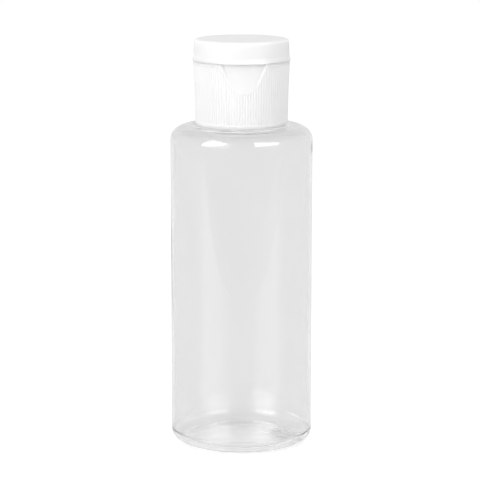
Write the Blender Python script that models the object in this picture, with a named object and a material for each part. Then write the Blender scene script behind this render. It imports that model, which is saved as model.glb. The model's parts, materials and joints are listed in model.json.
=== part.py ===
"""Clear cylinder bottle with a screw-on flip-top closure.

The bottle stands on z = 0 with its axis on Z. The closure's thumb recess faces -Y and its hinge faces +Y.
"""

import math

import bmesh
import bpy

MM = 0.001

# Fineness of the round shapes
BOTTLE_SEGMENTS = 48
CLOSURE_SEGMENTS = 54
THREAD_STEPS_PER_TURN = 40
CORNER_STEPS = 6
INNER_CORNER_STEPS = 4
FILLET_STEPS = 3
BAND_STEPS = 8
SHARP_ANGLE = math.radians(32)
MERGE_DISTANCE = 0.001 * MM

# Clearances, and how far helpers pass what they shape
RUNNING_GAP = 0.30 * MM
SEAT_GAP = 0.10 * MM
FLANK_GAP = 0.28 * MM
OVERRUN = 1.00 * MM
EMBED = 0.35 * MM

# Bottle body
BODY_RADIUS = 20.25 * MM
BODY_WALL = 0.70 * MM
SHOULDER_TOP = 91.70 * MM
SHOULDER_WIDTH = 6.08 * MM
SHOULDER_DROP = 4.37 * MM
SHOULDER_POWER = 2.26
SHOULDER_RISE_SHARE = 0.05
HEEL_WIDTH = 2.91 * MM
HEEL_RISE = 2.65 * MM
HEEL_POWER = 1.86

# Bottle base
BASE_WALL = 1.00 * MM
STANDING_RING_WIDTH = 1.90 * MM
PUSH_UP_RISE = 2.60 * MM
PUSH_UP_POWER = 2.60
PUSH_UP_STEPS = 4
GATE_RADIUS = 1.90 * MM
GATE_DROP = 0.40 * MM

# Bottle neck, a 24 mm finish with one and a half turns of thread
NECK_RADIUS = 10.80 * MM
NECK_WALL = 1.60 * MM
NECK_HEIGHT = 16.60 * MM
NECK_ROOT_FILLET = 0.45 * MM
NECK_INNER_FILLET = 1.20 * MM
LIP_ROUND = 0.35 * MM
THREAD_PITCH = 3.175 * MM
THREAD_TURNS = 1.50
THREAD_DEPTH = 1.20 * MM
THREAD_ROOT_WIDTH = 2.00 * MM
THREAD_CREST_WIDTH = 0.95 * MM
THREAD_LAND = 1.10 * MM
THREAD_RUNOUT_TURNS = 0.09
THREAD_END_SHARE = 0.12

# Sealing washer
WASHER_THICKNESS = 0.80 * MM
WASHER_INSET = 0.20 * MM
WASHER_CHAMFER = 0.12 * MM

# Closure skirt and its ribs
CREST_GAP = 0.25 * MM
SKIRT_WALL = 0.70 * MM
SKIRT_FLARE = 0.32 * MM
SKIRT_LIFT = 0.25 * MM
SKIRT_BEVEL = 0.55 * MM
SKIRT_EDGE = 0.20 * MM
CLOSURE_THREAD_TURNS = 1.25
CLOSURE_THREAD_START_TURN = 0.50
RIB_COUNT = 108
GROOVE_DEPTH = 0.25 * MM
GROOVE_WIDTH_SHARE = 0.56
GROOVE_OVERCUT = 0.10 * MM
RIB_FOOT_BAND = 0.55 * MM
RIB_HEAD_BAND = 0.45 * MM
RIB_END_LAND = 0.40 * MM

# Closure deck and spout
DECK_THICKNESS = 1.30 * MM
PLATFORM_RISE = 0.85 * MM
PLATFORM_INSET = 0.20 * MM
PLATFORM_EDGE = 0.25 * MM
CATCH_HEIGHT = 0.36 * MM
CATCH_DEPTH = 0.12 * MM
SPOUT_RADIUS = 3.30 * MM
SPOUT_RISE = 1.90 * MM
SPOUT_ROUND = 0.60 * MM
SPOUT_FILLET = 0.80 * MM
ORIFICE_RADIUS = 1.60 * MM
ORIFICE_FLARE = 0.25 * MM

# Thumb recess
RECESS_HALF_WIDTH = 6.40 * MM
RECESS_DROP = 7.90 * MM
RECESS_ROUND = 4.35 * MM
RECESS_DEPTH = 0.66 * MM
RECESS_FADE_DEPTH = 0.07 * MM

# Lid
PARTING_GAP = 0.20 * MM
LID_HEIGHT = 6.05 * MM
LID_OVERHANG = 0.10 * MM
LID_DRAFT = 0.14 * MM
LID_TOP_WALL = 1.00 * MM
LID_TOP_ROUND = 0.90 * MM
LID_INNER_ROUND = 0.70 * MM
BEAD_HEIGHT = 0.65 * MM
BEAD_DEPTH = 0.25 * MM
BEAD_ROUND = 0.15 * MM
PLUG_GAP = 0.20 * MM
PLUG_REACH = 1.60 * MM
PLUG_TIP_SHARE = 0.72
PLUG_FILLET = 0.50 * MM

# Hinge: flat pads behind skirt and lid, with pockets for two straps and a sprung band
PIVOT_PROUD = 0.60 * MM
PAD_HALF_WIDTH = 6.00 * MM
PAD_INSET = 0.37 * MM
PAD_DROP = 5.20 * MM
PAD_SLOPE_SHARE = 0.50
STRAP_WIDTH = 1.80 * MM
STRAP_OFFSET = 4.20 * MM
STRAP_REACH = 2.60 * MM
STRAP_POCKET_DEPTH = 0.60 * MM
STRAP_THICKNESS = 0.40 * MM
SPRING_WIDTH = 4.60 * MM
SPRING_REACH = 3.10 * MM
SPRING_POCKET_DEPTH = 0.30 * MM
SPRING_THICKNESS = 0.42 * MM
SPRING_PROUD = 0.20 * MM
FILM_THICKNESS = 0.25 * MM

# Heights that follow
NECK_TOP = SHOULDER_TOP + NECK_HEIGHT
WASHER_BOTTOM = NECK_TOP + SEAT_GAP
DECK_BOTTOM = WASHER_BOTTOM + WASHER_THICKNESS + SEAT_GAP
PLATFORM_TOP = DECK_BOTTOM + DECK_THICKNESS
LEDGE = PLATFORM_TOP - PLATFORM_RISE
SPOUT_TOP = PLATFORM_TOP + SPOUT_RISE
SKIRT_BOTTOM = SHOULDER_TOP + SKIRT_LIFT
SKIRT_CORNER = SKIRT_BOTTOM + SKIRT_BEVEL
LID_BOTTOM = LEDGE + PARTING_GAP
LID_TOP = LID_BOTTOM + LID_HEIGHT
CEILING = LID_TOP - LID_TOP_WALL

# Radii that follow
NECK_BORE_RADIUS = NECK_RADIUS - NECK_WALL
STANDING_RING_RADIUS = BODY_RADIUS - HEEL_WIDTH - STANDING_RING_WIDTH
THREAD_RADIUS = NECK_RADIUS + THREAD_DEPTH
SKIRT_INNER_RADIUS = THREAD_RADIUS + CREST_GAP
SKIRT_FOOT_RADIUS = SKIRT_INNER_RADIUS + SKIRT_WALL + GROOVE_DEPTH
SKIRT_HEAD_RADIUS = SKIRT_FOOT_RADIUS + SKIRT_FLARE
PLATFORM_RADIUS = SKIRT_INNER_RADIUS - PLATFORM_INSET
LID_RADIUS = SKIRT_HEAD_RADIUS + LID_OVERHANG
LID_INNER_RADIUS = PLATFORM_RADIUS + RUNNING_GAP
BEAD_RADIUS = LID_RADIUS + BEAD_DEPTH
SKIRT_WALL_MIDDLE = SKIRT_INNER_RADIUS + SKIRT_WALL / 2
LID_WALL_MIDDLE = (LID_INNER_RADIUS + LID_RADIUS) / 2

# Threads that follow
THREAD_START = NECK_TOP - THREAD_LAND - THREAD_ROOT_WIDTH / 2 - THREAD_PITCH * THREAD_TURNS

# Hinge places that follow
PAD_FACE = SKIRT_HEAD_RADIUS - PAD_INSET
PIVOT_Y = PAD_FACE + PIVOT_PROUD
PIVOT_Z = (LEDGE + LID_BOTTOM) / 2
LID_PAD_CORNER = math.sqrt(LID_WALL_MIDDLE**2 - PAD_HALF_WIDTH**2)
LID_PAD_TOP = LID_TOP - LID_TOP_ROUND - PAD_SLOPE_SHARE * (PAD_FACE - LID_PAD_CORNER)


def material(name, color, roughness, transmission=0.0, ior=1.5):
    """A Principled material in one of the object's plastics."""
    made = bpy.data.materials.new(name)
    made.use_nodes = True
    shader = made.node_tree.nodes["Principled BSDF"]
    shader.inputs["Base Color"].default_value = (*color, 1.0)
    shader.inputs["Roughness"].default_value = roughness
    shader.inputs["Metallic"].default_value = 0.0
    shader.inputs["Transmission Weight"].default_value = transmission
    shader.inputs["IOR"].default_value = ior
    made.diffuse_color = (*color, 1.0 - 0.6 * transmission)
    return made


def place(name, bm, finish=None):
    """Close the mesh, point its faces outwards and link it as an object."""
    bmesh.ops.remove_doubles(bm, verts=bm.verts, dist=MERGE_DISTANCE)
    bmesh.ops.recalc_face_normals(bm, faces=bm.faces)
    mesh = bpy.data.meshes.new(name)
    bm.to_mesh(mesh)
    bm.free()
    mesh.shade_smooth()
    mesh.set_sharp_from_angle(angle=SHARP_ANGLE)
    made = bpy.data.objects.new(name, mesh)
    bpy.context.scene.collection.objects.link(made)
    if finish is None:
        made.hide_render = True
        made.display_type = "WIRE"
    else:
        mesh.materials.append(finish)
    return made


def lathe(name, profile, segments, finish=None, closed=False):
    """Turn a profile of (radius, height) points about Z. An open one starts and ends on the axis."""
    bm = bmesh.new()
    verts = [bm.verts.new((radius, 0.0, height)) for radius, height in profile]
    edges = [bm.edges.new(pair) for pair in zip(verts, verts[1:])]
    if closed:
        edges.append(bm.edges.new((verts[-1], verts[0])))
    bmesh.ops.spin(
        bm,
        geom=verts + edges,
        cent=(0.0, 0.0, 0.0),
        axis=(0.0, 0.0, 1.0),
        angle=math.tau,
        steps=segments,
        use_merge=True,
    )
    return place(name, bm, finish)


def add_loft(bm, rings):
    """Join rings of as many points each into one closed skin with flat ends."""
    made = [[bm.verts.new(point) for point in ring] for ring in rings]
    count = len(made[0])
    for lower, upper in zip(made, made[1:]):
        for i in range(count):
            j = (i + 1) % count
            bm.faces.new((lower[i], lower[j], upper[j], upper[i]))
    bm.faces.new(made[0])
    bm.faces.new(made[-1])


def loft(name, rings, finish=None):
    bm = bmesh.new()
    add_loft(bm, rings)
    return place(name, bm, finish)


def prism_x(name, outline, low, high):
    """Extrude an outline of (y, z) points along X."""
    return loft(name, [[(x, y, z) for y, z in outline] for x in (low, high)])


def prism_y(name, outline, low, high):
    """Extrude an outline of (x, z) points along Y."""
    return loft(name, [[(x, y, z) for x, z in outline] for y in (low, high)])


def box(name, x_span, y_span, z_span):
    (y0, y1), (z0, z1) = y_span, z_span
    return prism_x(name, [(y0, z0), (y1, z0), (y1, z1), (y0, z1)], *x_span)


def combine(target, tool, operation):
    """Leave a live Boolean on the target, with its tool as a wire helper."""
    modifier = target.modifiers.new(tool.name, "BOOLEAN")
    modifier.object = tool
    modifier.operation = operation
    modifier.solver = "EXACT"


def arc(center, radius, start, end, steps):
    """Points on a circle of (radius, height) space, from one angle in degrees to another."""
    points = []
    for i in range(steps + 1):
        angle = math.radians(start + (end - start) * i / steps)
        points.append((center[0] + radius * math.cos(angle), center[1] + radius * math.sin(angle)))
    return points


def super_corner(center, width, height, power, steps):
    """A corner from straight below its centre's outer side round to straight above the centre."""
    points = []
    for i in range(steps + 1):
        angle = math.pi / 2 * i / steps
        across = math.cos(angle) ** (2 / power)
        along = math.sin(angle) ** (2 / power)
        points.append((center[0] + width * across, center[1] + height * along))
    return points


def push_up(radius):
    """Height of the base's outer face inside the standing ring."""
    return PUSH_UP_RISE * (1 - (radius / STANDING_RING_RADIUS) ** PUSH_UP_POWER)


def base_profile():
    """The push-up from the gate mark to the standing ring's inner edge, seen from below."""
    step = (STANDING_RING_RADIUS - GATE_RADIUS) / PUSH_UP_STEPS
    radii = [GATE_RADIUS + step * i for i in range(PUSH_UP_STEPS + 1)]
    gate_foot = push_up(GATE_RADIUS) - GATE_DROP
    return [(0.0, gate_foot), (GATE_RADIUS - GATE_DROP, gate_foot)] + [(r, push_up(r)) for r in radii]


def heel(wall, floor, steps):
    """The heel from the standing ring to the straight wall, moved inwards by the wall and the floor."""
    center = (BODY_RADIUS - HEEL_WIDTH, HEEL_RISE)
    width = HEEL_WIDTH - wall
    drop = floor - HEEL_RISE
    return super_corner(center, width, drop, HEEL_POWER, steps)[::-1]


def shoulder(wall, steps):
    """The round shoulder from the straight wall to its nearly flat top, moved inwards by the wall."""
    center = (BODY_RADIUS - SHOULDER_WIDTH, SHOULDER_TOP - SHOULDER_DROP)
    return super_corner(center, SHOULDER_WIDTH - wall, SHOULDER_DROP - wall, SHOULDER_POWER, steps)


def shoulder_at(radius):
    """Height of the nearly flat top of the shoulder."""
    return SHOULDER_TOP + SHOULDER_RISE_SHARE * (BODY_RADIUS - SHOULDER_WIDTH - radius)


def bottle_profile():
    fillet = NECK_ROOT_FILLET
    root = (NECK_RADIUS + fillet, shoulder_at(NECK_RADIUS + fillet) + fillet)
    lip_out = (NECK_RADIUS - LIP_ROUND, NECK_TOP - LIP_ROUND)
    lip_in = (NECK_BORE_RADIUS + LIP_ROUND, NECK_TOP - LIP_ROUND)
    outer = base_profile() + heel(0.0, 0.0, CORNER_STEPS) + shoulder(0.0, CORNER_STEPS)
    outer += arc(root, fillet, 270, 180, FILLET_STEPS)
    outer += arc(lip_out, LIP_ROUND, 0, 90, FILLET_STEPS)
    ceiling = shoulder_at(NECK_BORE_RADIUS) - BODY_WALL
    throat = (NECK_BORE_RADIUS + NECK_INNER_FILLET, ceiling + NECK_INNER_FILLET)
    inner = arc(lip_in, LIP_ROUND, 90, 180, FILLET_STEPS)
    inner += arc(throat, NECK_INNER_FILLET, 180, 270, FILLET_STEPS)
    inner += shoulder(BODY_WALL, INNER_CORNER_STEPS)[::-1]
    inner += heel(BODY_WALL, BASE_WALL, INNER_CORNER_STEPS)[::-1]
    floor = [(radius, height + BASE_WALL) for radius, height in base_profile()[2:][::-1]]
    inner += floor + [(0.0, push_up(0.0) + BASE_WALL)]
    return outer + inner


def thread_width(radius):
    """Width of the neck's thread at a radius, on its straight flanks."""
    slope = (THREAD_ROOT_WIDTH - THREAD_CREST_WIDTH) / THREAD_DEPTH
    return THREAD_CREST_WIDTH + slope * (THREAD_RADIUS - radius)


def closure_thread_width(radius):
    """Width of the closure's thread, which fills the pitch but for a gap on each flank."""
    return THREAD_PITCH - 2 * FLANK_GAP - thread_width(radius)


def helical_ridge(name, turns, start_turn, start_height, root, crest, width_at):
    """A thread ridge that swells out of its wall at one end and sinks back into it at the other."""
    steps = round(turns * THREAD_STEPS_PER_TURN)
    embedded = root - math.copysign(EMBED, crest - root)
    rings = []
    for i in range(steps + 1):
        turn = turns * i / steps
        runout = min(1.0, min(turn, turns - turn) / THREAD_RUNOUT_TURNS)
        swell = THREAD_END_SHARE + (1 - THREAD_END_SHARE) * math.sin(math.pi / 2 * runout)
        tip = embedded + (crest - embedded) * swell
        tip_half = width_at(crest) / 2 * swell
        root_half = width_at(embedded) / 2 * swell
        angle = math.tau * (start_turn + turn)
        height = start_height + THREAD_PITCH * turn
        section = [(embedded, -root_half), (tip, -tip_half), (tip, tip_half), (embedded, root_half)]
        rings.append([(r * math.cos(angle), r * math.sin(angle), height + z) for r, z in section])
    return loft(name, rings)


def skirt_radius(height):
    """Outer radius over the ribs, which grows a little towards the top."""
    return SKIRT_FOOT_RADIUS + SKIRT_FLARE * (height - SKIRT_CORNER) / (LEDGE - SKIRT_CORNER)


def recess_outline():
    """The thumb recess seen from the front: flaring sides on a round foot, open at the top."""
    foot = LEDGE - RECESS_DROP
    center = foot + RECESS_ROUND
    reach = math.hypot(RECESS_HALF_WIDTH, LEDGE - center)
    to_corner = math.atan2(LEDGE - center, RECESS_HALF_WIDTH)
    touch = to_corner - math.acos(RECESS_ROUND / reach)
    turn = math.degrees(touch)
    foot_arc = arc((0.0, center), RECESS_ROUND, -180 - turn, turn, 2 * CORNER_STEPS)
    side = (RECESS_HALF_WIDTH - foot_arc[-1][0]) / (LEDGE - foot_arc[-1][1])
    top = LEDGE + OVERRUN
    corner = RECESS_HALF_WIDTH + side * OVERRUN
    return [(-corner, top)] + foot_arc + [(corner, top)]


def recess_edge(across):
    """Height of the recess's lower edge at a place inside its width."""
    outline = recess_outline()
    for (x0, z0), (x1, z1) in zip(outline, outline[1:]):
        if x0 <= across <= x1:
            return z0 + (z1 - z0) * (across - x0) / (x1 - x0)
    return LEDGE


def groove_top(x, y):
    """Where a groove between two ribs ends: under the thumb recess, or at the head band."""
    head = LEDGE - RIB_HEAD_BAND
    across = max(0.0, abs(x) - RIB_END_LAND / 2)
    if y > 0 or across > RECESS_HALF_WIDTH:
        return head
    return min(head, recess_edge(across) - RIB_END_LAND)


def rib_grooves():
    """The V grooves that leave the ribs standing, as one helper."""
    bm = bmesh.new()
    pitch = math.tau / RIB_COUNT
    bottom = SKIRT_CORNER + RIB_FOOT_BAND
    for i in range(RIB_COUNT):
        middle = pitch * (i + 0.5)
        x = SKIRT_HEAD_RADIUS * math.sin(middle)
        y = -SKIRT_HEAD_RADIUS * math.cos(middle)
        rings = []
        for height in (bottom, groove_top(x, y)):
            crest = skirt_radius(height)
            half = pitch / 2 * GROOVE_WIDTH_SHARE * (GROOVE_DEPTH + GROOVE_OVERCUT) / GROOVE_DEPTH
            corners = [
                (crest - GROOVE_DEPTH, middle),
                (crest + GROOVE_OVERCUT, middle + half),
                (crest + GROOVE_OVERCUT, middle - half),
            ]
            rings.append([(r * math.sin(a), -r * math.cos(a), height) for r, a in corners])
        add_loft(bm, rings)
    return place("rib_grooves", bm)


def closure_profile():
    """The closure as turned: skirt on its bevelled foot, ledge, platform with a catch, spout and orifice."""
    catch = PLATFORM_RADIUS + CATCH_DEPTH
    catch_middle = (LID_BOTTOM + PLATFORM_TOP) / 2
    spout_edge = (SPOUT_RADIUS - SPOUT_ROUND, SPOUT_TOP - SPOUT_ROUND)
    spout_foot = (SPOUT_RADIUS + SPOUT_FILLET, PLATFORM_TOP + SPOUT_FILLET)
    inner_edge = (SKIRT_INNER_RADIUS, SKIRT_BOTTOM)
    profile = [
        (inner_edge[0], inner_edge[1] + SKIRT_EDGE),
        (inner_edge[0] + SKIRT_EDGE, inner_edge[1]),
        (SKIRT_FOOT_RADIUS - SKIRT_BEVEL, SKIRT_BOTTOM),
        (SKIRT_FOOT_RADIUS, SKIRT_CORNER),
        (skirt_radius(LEDGE - SKIRT_EDGE), LEDGE - SKIRT_EDGE),
        (SKIRT_HEAD_RADIUS - SKIRT_EDGE, LEDGE),
        (PLATFORM_RADIUS, LEDGE),
        (PLATFORM_RADIUS, catch_middle - CATCH_HEIGHT / 2),
        (catch, catch_middle),
        (PLATFORM_RADIUS, catch_middle + CATCH_HEIGHT / 2),
        (PLATFORM_RADIUS - PLATFORM_EDGE, PLATFORM_TOP),
    ]
    profile += arc(spout_foot, SPOUT_FILLET, 270, 180, FILLET_STEPS)
    profile += arc(spout_edge, SPOUT_ROUND, 0, 90, FILLET_STEPS)
    profile += [
        (ORIFICE_RADIUS + ORIFICE_FLARE, SPOUT_TOP),
        (ORIFICE_RADIUS, SPOUT_TOP - ORIFICE_FLARE),
        (ORIFICE_RADIUS, DECK_BOTTOM),
        (SKIRT_INNER_RADIUS, DECK_BOTTOM),
    ]
    return profile


def lid_profile():
    """The lid as turned: plug under the ceiling, then the wall with its bead and the rounded top."""
    wall_top = LID_RADIUS - LID_DRAFT
    bead_top = LID_BOTTOM + BEAD_HEIGHT
    plug_tip = SPOUT_TOP - PLUG_REACH
    plug_radius = ORIFICE_RADIUS - PLUG_GAP
    tip_radius = plug_radius * PLUG_TIP_SHARE
    profile = [
        (LID_INNER_RADIUS, LID_BOTTOM),
        (BEAD_RADIUS - BEAD_ROUND, LID_BOTTOM),
        (BEAD_RADIUS, LID_BOTTOM + BEAD_ROUND),
        (BEAD_RADIUS, bead_top - BEAD_ROUND),
        (BEAD_RADIUS - BEAD_ROUND, bead_top),
        (LID_RADIUS, bead_top),
    ]
    profile += arc(
        (wall_top - LID_TOP_ROUND, LID_TOP - LID_TOP_ROUND), LID_TOP_ROUND, 0, 90, CORNER_STEPS - 2
    )
    profile.append((0.0, LID_TOP))
    inside = [
        (0.0, plug_tip),
        (tip_radius / 2, plug_tip),
        (tip_radius, plug_tip + tip_radius / 2),
        (plug_radius, SPOUT_TOP),
        (plug_radius, CEILING - PLUG_FILLET),
        (plug_radius + PLUG_FILLET, CEILING),
    ]
    inside += arc(
        (LID_INNER_RADIUS - LID_INNER_ROUND, CEILING - LID_INNER_ROUND),
        LID_INNER_ROUND,
        90,
        0,
        FILLET_STEPS,
    )
    return inside + profile


def recess_cutter():
    """The recess's outline run inwards to a floor that fades out towards its foot."""
    foot = LEDGE - RECESS_DROP
    top_floor = SKIRT_HEAD_RADIUS - RECESS_DEPTH
    foot_floor = skirt_radius(foot) - RECESS_FADE_DEPTH
    slope = (foot_floor - top_floor) / RECESS_DROP
    low = foot - OVERRUN
    high = LEDGE + 2 * OVERRUN
    floor = [
        (0.0, low),
        (top_floor + slope * (LEDGE - low), low),
        (top_floor + slope * (LEDGE - high), high),
        (0.0, high),
    ]
    cutter = prism_y("recess", recess_outline(), -BEAD_RADIUS - OVERRUN, -RECESS_HALF_WIDTH)
    combine(cutter, lathe("recess_floor", floor, CLOSURE_SEGMENTS), "DIFFERENCE")
    return cutter


def hinge_pad(name, wall_middle, outline):
    """A pad behind a round wall, from the wall's middle out past the flat face that it gets."""
    pad = prism_x(name, outline, -PAD_HALF_WIDTH, PAD_HALF_WIDTH)
    low = min(height for _, height in outline) - OVERRUN
    high = max(height for _, height in outline) + OVERRUN
    inside = [(0.0, low), (wall_middle, low), (wall_middle, high), (0.0, high)]
    combine(pad, lathe(name + "_inside", inside, CLOSURE_SEGMENTS), "DIFFERENCE")
    return pad


def closure_pad():
    """The skirt's hinge pad, with a sloping underside."""
    start = PAD_FACE - PAD_HALF_WIDTH
    behind = PAD_FACE + OVERRUN
    bottom = LEDGE - PAD_DROP
    top = LEDGE - SEAT_GAP
    outline = [
        (start, bottom - PAD_SLOPE_SHARE * (PAD_FACE - start)),
        (behind, bottom + PAD_SLOPE_SHARE * OVERRUN),
        (behind, top),
        (start, top),
    ]
    return hinge_pad("closure_pad", SKIRT_WALL_MIDDLE, outline)


def lid_pad():
    """The lid's hinge pad, whose sloping top dies into the wall below the lid's rounded edge."""
    start = PAD_FACE - PAD_HALF_WIDTH
    behind = PAD_FACE + OVERRUN
    bottom = LID_BOTTOM + SEAT_GAP
    outline = [
        (start, bottom),
        (behind, bottom),
        (behind, LID_PAD_TOP - PAD_SLOPE_SHARE * OVERRUN),
        (start, LID_PAD_TOP + PAD_SLOPE_SHARE * (PAD_FACE - start)),
    ]
    return hinge_pad("lid_pad", LID_WALL_MIDDLE, outline)


def hinge_cutters():
    """The flat behind the pads, and the pockets that straps and spring lie in."""
    behind = PIVOT_Y + 2 * OVERRUN
    flat = box(
        "hinge_flat",
        (-PAD_HALF_WIDTH - OVERRUN, PAD_HALF_WIDTH + OVERRUN),
        (PAD_FACE, behind),
        (LEDGE - PAD_DROP - SKIRT_EDGE, LID_PAD_TOP + SKIRT_EDGE),
    )
    cutters = [flat]
    pockets = {
        "strap_pocket_left": (-STRAP_OFFSET, STRAP_WIDTH, STRAP_REACH, STRAP_POCKET_DEPTH),
        "strap_pocket_right": (STRAP_OFFSET, STRAP_WIDTH, STRAP_REACH, STRAP_POCKET_DEPTH),
        "spring_pocket": (0.0, SPRING_WIDTH, SPRING_REACH, SPRING_POCKET_DEPTH),
    }
    for name, (middle, width, reach, depth) in pockets.items():
        half = width / 2 + RUNNING_GAP
        tall = reach + RUNNING_GAP
        cutters.append(
            box(
                name,
                (middle - half, middle + half),
                (PAD_FACE - depth, behind),
                (PIVOT_Z - tall, PIVOT_Z + tall),
            )
        )
    return cutters


def hinge_band(name, middle, width, reach, foot, crown, foot_thickness, crown_thickness, finish):
    """A band bowed out from its pocket to the pivot line, seen from the side as one outline."""
    front = []
    back = []
    for i in range(BAND_STEPS + 1):
        along = 2 * i / BAND_STEPS - 1
        bow = math.cos(math.pi / 2 * along) ** 2
        y = foot + (crown - foot) * bow
        half = (foot_thickness + (crown_thickness - foot_thickness) * bow) / 2
        front.append((y - half, PIVOT_Z + reach * along))
        back.append((y + half, PIVOT_Z + reach * along))
    outline = front + back[::-1]
    sides = (middle - width / 2, middle + width / 2)
    return loft(name, [[(x, y, z) for y, z in outline] for x in sides], finish)


def build_bottle(finish):
    bottle = lathe("bottle", bottle_profile(), BOTTLE_SEGMENTS, finish)
    ridge = helical_ridge(
        "neck_thread", THREAD_TURNS, 0.0, THREAD_START, NECK_RADIUS, THREAD_RADIUS, thread_width
    )
    combine(bottle, ridge, "UNION")
    return bottle


def build_washer(finish):
    inner = NECK_BORE_RADIUS - WASHER_INSET
    outer = SKIRT_INNER_RADIUS - RUNNING_GAP
    low = WASHER_BOTTOM
    high = WASHER_BOTTOM + WASHER_THICKNESS
    edge = WASHER_CHAMFER
    profile = [
        (inner, low + edge),
        (inner + edge, low),
        (outer - edge, low),
        (outer, low + edge),
        (outer, high - edge),
        (outer - edge, high),
        (inner + edge, high),
        (inner, high - edge),
    ]
    return lathe("sealing_washer", profile, BOTTLE_SEGMENTS, finish, closed=True)


def build_closure(finish, cutters):
    closure = lathe("closure_base", closure_profile(), CLOSURE_SEGMENTS, finish, closed=True)
    combine(closure, rib_grooves(), "DIFFERENCE")
    combine(closure, recess_cutter(), "DIFFERENCE")
    combine(closure, closure_pad(), "UNION")
    for cutter in cutters:
        combine(closure, cutter, "DIFFERENCE")
    ridge = helical_ridge(
        "closure_thread",
        CLOSURE_THREAD_TURNS,
        CLOSURE_THREAD_START_TURN,
        THREAD_START + THREAD_PITCH * (CLOSURE_THREAD_START_TURN - 0.5),
        SKIRT_INNER_RADIUS,
        NECK_RADIUS + RUNNING_GAP,
        closure_thread_width,
    )
    combine(closure, ridge, "UNION")
    return closure


def build_lid(finish, cutters):
    lid = lathe("lid", lid_profile(), CLOSURE_SEGMENTS, finish)
    combine(lid, lid_pad(), "UNION")
    for cutter in cutters:
        combine(lid, cutter, "DIFFERENCE")
    return lid


def build_hinge(finish):
    strap_foot = PAD_FACE - STRAP_POCKET_DEPTH + RUNNING_GAP + STRAP_THICKNESS / 2
    bands = []
    for name, middle in (("hinge_strap_left", -STRAP_OFFSET), ("hinge_strap_right", STRAP_OFFSET)):
        bands.append(
            hinge_band(
                name,
                middle,
                STRAP_WIDTH,
                STRAP_REACH,
                strap_foot,
                PIVOT_Y,
                STRAP_THICKNESS,
                FILM_THICKNESS,
                finish,
            )
        )
    spring_foot = PAD_FACE - SPRING_POCKET_DEPTH + RUNNING_GAP + FILM_THICKNESS / 2
    bands.append(
        hinge_band(
            "hinge_spring",
            0.0,
            SPRING_WIDTH,
            SPRING_REACH,
            spring_foot,
            PIVOT_Y + SPRING_PROUD,
            FILM_THICKNESS,
            SPRING_THICKNESS,
            finish,
        )
    )
    return bands


def add_empty(name, location):
    empty = bpy.data.objects.new(name, None)
    empty.location = location
    bpy.context.scene.collection.objects.link(empty)
    return empty


def carry(carrier, riders):
    """Parent riders to their carrier and leave them where they are."""
    bpy.context.view_layer.update()
    for rider in riders:
        rider.parent = carrier
        rider.matrix_parent_inverse = carrier.matrix_world.inverted()


def main():
    for old in list(bpy.data.objects):
        bpy.data.objects.remove(old)
    clear_plastic = material("clear_bottle_plastic", (0.93, 0.94, 0.95), 0.03, 1.0, 1.575)
    white_plastic = material("white_closure_plastic", (0.86, 0.86, 0.87), 0.34)
    liner_foam = material("liner_foam", (0.90, 0.89, 0.86), 0.62)
    cutters = hinge_cutters()
    bottle = build_bottle(clear_plastic)
    washer = build_washer(liner_foam)
    closure = build_closure(white_plastic, cutters)
    lid = build_lid(white_plastic, cutters)
    bands = build_hinge(white_plastic)
    cap_axis = add_empty("cap_axis", (0.0, 0.0, NECK_TOP))
    lid_pivot = add_empty("lid_pivot", (0.0, PIVOT_Y, PIVOT_Z))
    carry(lid_pivot, [lid])
    carry(cap_axis, [washer, closure, lid_pivot] + bands)
    carry(bottle, [cap_axis])


main()
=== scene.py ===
"""Looks of a clear cylinder bottle with a ribbed flip-top closure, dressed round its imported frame.

Lengths are in metres. The bottle stands on z = 0 with its axis on Z.
Its thumb recess faces -Y and its hinge +Y.
"""

import json
import math

import bmesh
import bpy
from bpy.props import FloatProperty, FloatVectorProperty, IntProperty, PointerProperty
from mathutils import Matrix, Vector


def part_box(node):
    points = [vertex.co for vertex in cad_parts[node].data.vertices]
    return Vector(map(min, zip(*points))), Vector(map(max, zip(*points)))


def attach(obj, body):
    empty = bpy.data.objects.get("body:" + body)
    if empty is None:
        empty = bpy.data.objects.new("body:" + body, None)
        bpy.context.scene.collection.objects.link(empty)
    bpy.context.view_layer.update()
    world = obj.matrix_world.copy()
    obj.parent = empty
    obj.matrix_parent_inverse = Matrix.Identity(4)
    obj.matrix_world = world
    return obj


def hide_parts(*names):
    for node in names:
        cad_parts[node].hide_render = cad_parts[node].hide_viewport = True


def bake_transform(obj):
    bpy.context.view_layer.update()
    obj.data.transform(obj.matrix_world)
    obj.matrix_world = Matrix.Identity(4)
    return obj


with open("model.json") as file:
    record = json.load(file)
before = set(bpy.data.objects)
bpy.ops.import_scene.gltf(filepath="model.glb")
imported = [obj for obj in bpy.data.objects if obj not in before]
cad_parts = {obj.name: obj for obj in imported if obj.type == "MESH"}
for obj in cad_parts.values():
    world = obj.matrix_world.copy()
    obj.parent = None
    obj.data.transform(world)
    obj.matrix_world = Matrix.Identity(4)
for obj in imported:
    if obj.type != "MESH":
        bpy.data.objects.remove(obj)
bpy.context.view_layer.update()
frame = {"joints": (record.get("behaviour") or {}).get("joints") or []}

bl_info = {
    "name": "Flip-Top Bottle",
    "version": (1, 0, 0),
    "blender": (4, 5, 0),
    "location": "View3D > Sidebar > Bottle",
    "description": "Builds a clear bottle with a ribbed flip-top closure, and the studio it stands in",
    "category": "Add Mesh",
}

MM = 0.001

# Places read from the frame. The pivot lies halfway between the skirt's ledge and the lid's foot
BOTTLE_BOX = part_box("bottle")
WASHER_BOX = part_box("sealing_washer")
CLOSURE_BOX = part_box("closure_base")
LID_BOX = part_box("lid")
STRAP_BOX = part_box("hinge_strap_right")
SPRING_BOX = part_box("hinge_spring")
PIVOT = Vector(next(joint["pos_m"] for joint in frame["joints"] if joint["name"] == "lid_hinge"))
LEDGE = 2 * PIVOT.z - LID_BOX[0].z
PAD_FACE = LID_BOX[1].y

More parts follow.
